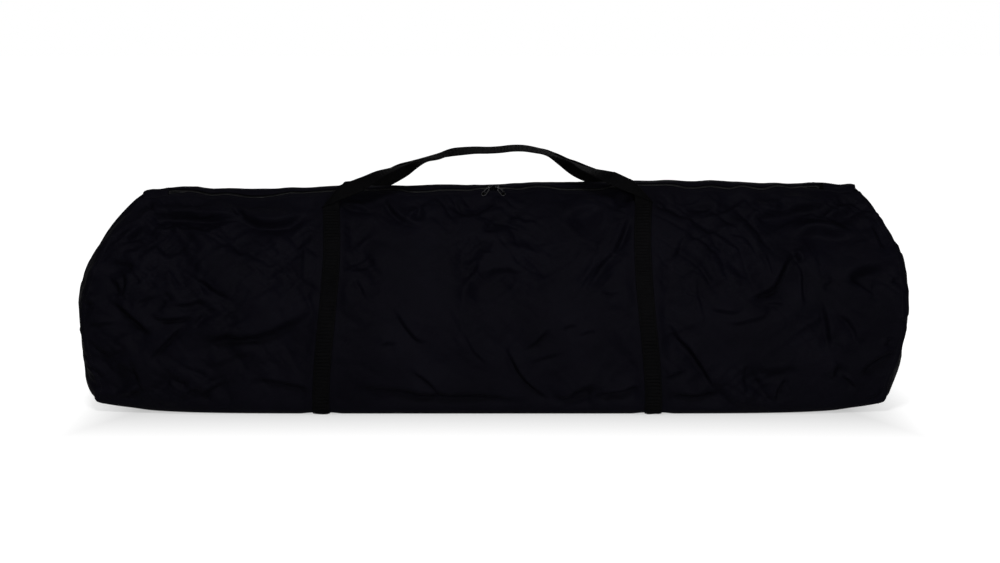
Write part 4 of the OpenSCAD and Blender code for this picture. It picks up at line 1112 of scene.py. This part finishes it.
def zip_tab(side):
    """The cloth tab that closes the slit past one end of the zip."""
    name = "zip_tab_" + side_name(side)
    x = np.linspace(TAB_FROM, TAB_TO, 20)[:, None] * side
    reach = SLIT_W / 2 + TAB_LAP
    d = np.linspace(-reach, reach, 29)
    s = np.clip(np.where(d < 0, -d - SLIT_W / 2, GIRTH - (d - SLIT_W / 2)), 0, GIRTH)
    over_slit = SLIT_MID + d[:, None] * SLIT_DIR
    line = np.where((np.abs(d) < SLIT_W / 2)[:, None], over_slit, along_section(SECTION, s))
    normal = normals(line)
    crown = 1 - (d / reach) ** 2
    rise = TAB_CROWN * (1 + 1.2 * ease((np.abs(x) - TAB_RISE_AT) / 12))
    swell = TAB_EDGE + crown * (rise + TAB_SWELL * noise(x, d[None, :], 17, 90 + side))
    tuck = TAB_TUCK * ease((np.abs(x) - TAB_TO + 5) / 5)
    grids = []
    for up in (0, -TAB_T):
        yz = line + (up + swell + relief(x, s) - tuck)[..., None] * normal
        grid = place(x, x / half_len(yz[..., 1]), yz) + zip_shift(x, s)
        grids.append(grid[::side])
    uv = pairs(np.abs(x[:, 0]), d)
    piece = add_sheet(name + "_cloth", *grids, "bag", "cloth", CLOTH, uv=uv)
    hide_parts(name)


# ---- Seam bindings and net ----
BINDING_W, BINDING_T, BINDING_BACK, BINDING_BOW = 10, 1, 2.5, 0.3


def seam_binding(side):
    name = "seam_binding_" + side_name(side)
    s = np.arange(*BELOW_FEET, 4.0)
    half = half_len(height_at(s))
    grids = []
    for off in (CLOTH_T + LAY_GAP, CLOTH_T + LAY_GAP + BINDING_T):
        rows = []
        for back in np.linspace(BINDING_BACK + BINDING_W, BINDING_BACK, 5):
            u = side * (1 - back / half)
            bow = BINDING_BOW * math.cos((back - BINDING_BACK - BINDING_W / 2) * 0.3)
            rows.append(skin(u, s, off - relief(u * half, s) + bow) + zip_shift(u * half, s))
        grids.append(np.stack(rows)[::side])
    uv = pairs(np.linspace(0, BINDING_W, 5), s)
    piece = add_sheet(name + "_tape", *grids, "bag", "webbing", WEBBING, uv=uv)
    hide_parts(name)


NET_LAYERS, NET_SKIN, NET_EDGE = 14, 0.6, 1.0


def folded_net():
    """The round net, folded into a packet of zigzag layers."""
    low, high = (np.array(corner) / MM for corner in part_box("folded_net"))
    pitch = (high[2] - low[2] - 2 * NET_SKIN) / (NET_LAYERS - 1)
    half_x = (high[0] - low[0]) / 2 - pitch / 2 - NET_EDGE
    middle = (low + high) / 2
    path = []
    for k in range(NET_LAYERS):
        way = (-1) ** k
        path += [(x, low[2] + NET_SKIN + k * pitch) for x in np.linspace(-half_x, half_x, 64) * way]
        if k < NET_LAYERS - 1:
            path += [
                (way * (half_x + pitch / 2 * math.sin(a)),
                 low[2] + NET_SKIN + (k + 0.5 - 0.5 * math.cos(a)) * pitch)
                for a in np.linspace(0, math.pi, 7)[1:-1]
            ]
    path = np.array(path)
    x, z = middle[0] + path[:, :1], path[:, 1:]
    y = np.linspace(low[1] + NET_EDGE, high[1] - NET_EDGE, 30)[None, :]
    layer = np.round((z - low[2] - NET_SKIN) / pitch)
    uv = pairs(np.arange(len(path)) * 6.0, y[0])
    x = x + 0 * y
    y = y + 1.2 * noise(x, 7 * layer, 60, 81) * ease((np.abs(y - middle[1]) - 20) / 30)
    z = np.clip(z + 0.35 * noise(x, y + 50 * layer, 7, 80), low[2], high[2])
    points = np.stack([x, y, z], -1).reshape(-1, 3)
    piece = add_mesh("net_packet", points, grid_faces(*x.shape), "bag", "net_cord", NET, uv=uv.reshape(-1, 2))
    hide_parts("folded_net")


# ---- Finishes of the CAD pieces ----
# Each kind of node with its finish and the width of its softened edges
FINISHES = [
    ("slider", ENAMEL, 0.1), ("pull", ENAMEL, 0.26), ("zip_stop", ENAMEL, 0.08),
    ("rim_tube", STEEL, 0.25), ("leg_foot", RUBBER, 0.8), ("leg", LEG, 0.7),
    ("net_hooks", HOOK, 0), ("ball", BALL, 0),
]


def soften(piece, width, clamp):
    """Rounds a piece's edges and returns the modifier."""
    piece.modifiers.new("joined_faces", "WELD").merge_threshold = 0.00001
    bevel = piece.modifiers.new("soft_edges", "BEVEL")
    bevel.width = width * MM
    bevel.segments = 3
    bevel.limit_method = "ANGLE"
    bevel.angle_limit = math.radians(35)
    bevel.use_clamp_overlap = clamp
    return bevel


def finish_nodes():
    for node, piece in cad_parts.items():
        looks = [row for row in FINISHES if node.startswith(row[0])]
        if not looks:
            continue
        kind, material, soft_edge = looks[0]
        piece.data.materials.clear()
        piece.data.materials.append(material)
        if soft_edge:
            bevel = soften(piece, soft_edge, material != ENAMEL)
            # A pull's softened edges take the lighter grey: a painted highlight
            if kind == "pull":
                piece.data.materials.append(PAINTED_EDGE_HIGHLIGHT)
                bevel.material = 1


# ---- Room ----
VIEW_AT, VIEW_FROM, VIEW_UP, FIELD = (0.010, 0, 0.1844), 2.4, 9, 35.7
FLOOR_HALF, FLOOR_SHADE, FLOOR_BOUNCE, FLOOR_GLOW = 40, 0.38, 0.92, 0.46
# The floor's glow for the camera is FLOOR_GLOW close round the bag and rises to full past GLOW_SIDE and
# GLOW_FRONT: the dimmer patch round the bag is painted shade
GLOW_SIDE, GLOW_SIDE_MOST, GLOW_FRONT = (0.53, 0.66), 0.9, (0.08, 0.36)
DIM_SIDE, DIM_FROM, DIM_TO = (0, -0.94, 0.34), 0.2, 0.85
ROOM_LIGHT, DIM_LIGHT = 0.15, 0.03


def camera():
    data = bpy.data.cameras.new("camera")
    data.angle = math.radians(FIELD)
    piece = add_object("camera", data)
    up = math.radians(VIEW_UP)
    piece.location = (VIEW_AT[0], -VIEW_FROM * math.cos(up), VIEW_AT[2] + VIEW_FROM * math.sin(up))
    piece.rotation_euler = (math.pi / 2 - up, 0, 0)
    bpy.context.scene.camera = piece


def backdrop():
    """White where the camera sees it; as light it is bright above and round the sides, and dim in front."""
    world = bpy.data.worlds.new("studio")
    bpy.context.scene.world = world
    world.use_nodes = True
    tree = world.node_tree
    way = add_node(tree, "TexCoord", "Generated", {})
    aim = add_node(tree, "VectorMath", "Value", {0: way, 1: DIM_SIDE}, operation="DOT_PRODUCT")
    light = ramp(tree, aim, DIM_FROM, DIM_TO, ROOM_LIGHT, DIM_LIGHT, interpolation_type="SMOOTHSTEP")
    rays = add_node(tree, "LightPath", "Is Camera Ray", {}).node.outputs
    seen = maths(tree, "MAXIMUM", rays["Is Camera Ray"], rays["Is Transmission Ray"])
    strength = add_node(tree, "Mix", "Result", {"Factor": seen, "A": light, "B": 1.0})
    inputs = tree.nodes["Background"].inputs
    inputs["Color"].default_value = (1, 1, 1, 1)
    tree.links.new(strength, inputs["Strength"])


def floor():
    """White paper that the camera sees. Its glow for the camera is dimmer close round the bag, painted shade
    there that keeps a soft shadow only close in front of the bag and washes it out further away.
    """
    mesh = bpy.data.meshes.new("floor")
    corners = [(x * FLOOR_HALF, y * FLOOR_HALF, 0) for x, y in ((-1, -1), (1, -1), (1, 1), (-1, 1))]
    mesh.from_pydata(corners, [], [(0, 1, 2, 3)])
    material, tree, inputs = shader("floor_paper", (FLOOR_SHADE,) * 3, 0.9, 0.0)
    seen = add_node(tree, "LightPath", "Is Camera Ray", {})
    place_on = split(tree, add_node(tree, "TexCoord", "Object", {}))
    # Glow for the camera, dimmer near the bag and full further off: painted shade round the bag
    beside = ramp(tree, maths(tree, "ABSOLUTE", place_on["X"]), *GLOW_SIDE, 0, GLOW_SIDE_MOST)
    away = ramp(tree, maths(tree, "ABSOLUTE", place_on["Y"]), *GLOW_FRONT, 0, 1)
    glow = ramp(tree, maths(tree, "MAXIMUM", beside, away), 0, 1, FLOOR_GLOW, 1)
    inputs["Emission Color"].default_value = (1, 1, 1, 1)
    tree.links.new(maths(tree, "MULTIPLY", glow, seen), inputs["Emission Strength"])
    tree.links.new(tint(tree, seen, (FLOOR_BOUNCE,) * 3, (FLOOR_SHADE,) * 3), inputs["Base Color"])
    mesh.materials.append(material)
    add_object("floor", mesh)


def softbox(name, place_at, aim, size, power):
    data = bpy.data.lights.new(name, "AREA")
    data.shape = "RECTANGLE"
    data.size, data.size_y = size
    data.energy = power
    piece = add_object(name, data)
    piece.location = place_at
    way = np.array(aim, float) - np.array(place_at, float)
    turn = math.atan2(way[1], way[0]) - math.pi / 2
    piece.rotation_euler = (math.acos(-way[2] / np.linalg.norm(way)), 0, turn)


camera()
backdrop()
floor()
softbox("softbox_top", (-0.3, -1.5, 2.1), (0, 0, 0.15), (0.7, 0.5), 31)
softbox("softbox_low", (0.6, -2.6, 0.7), (0, 0, 0.15), (0.8, 0.5), 35)
softbox("softbox_rear", (0.4, 1.9, 1.5), (0, 0, 0.2), (1.2, 0.6), 4.5)
bpy.context.scene.view_settings.view_transform = "Standard"

bag_cloth()
for side in (-1, 1):
    end_cloth(side)
    seam_thread(side)
    seam_binding(side)
    strap(side)
    zip_tab(side)
handle("handle_front", FRONT_RUN, -1)
handle("handle_rear", REAR_RUN, 1)
for side, name in ((-1, "front"), (1, "rear")):
    zip_tape("zip_tape_" + name, side)
    zip_coil("zip_teeth_" + name, side)
    zip_stitching("zip_thread_" + name, side)
folded_net()
finish_nodes()
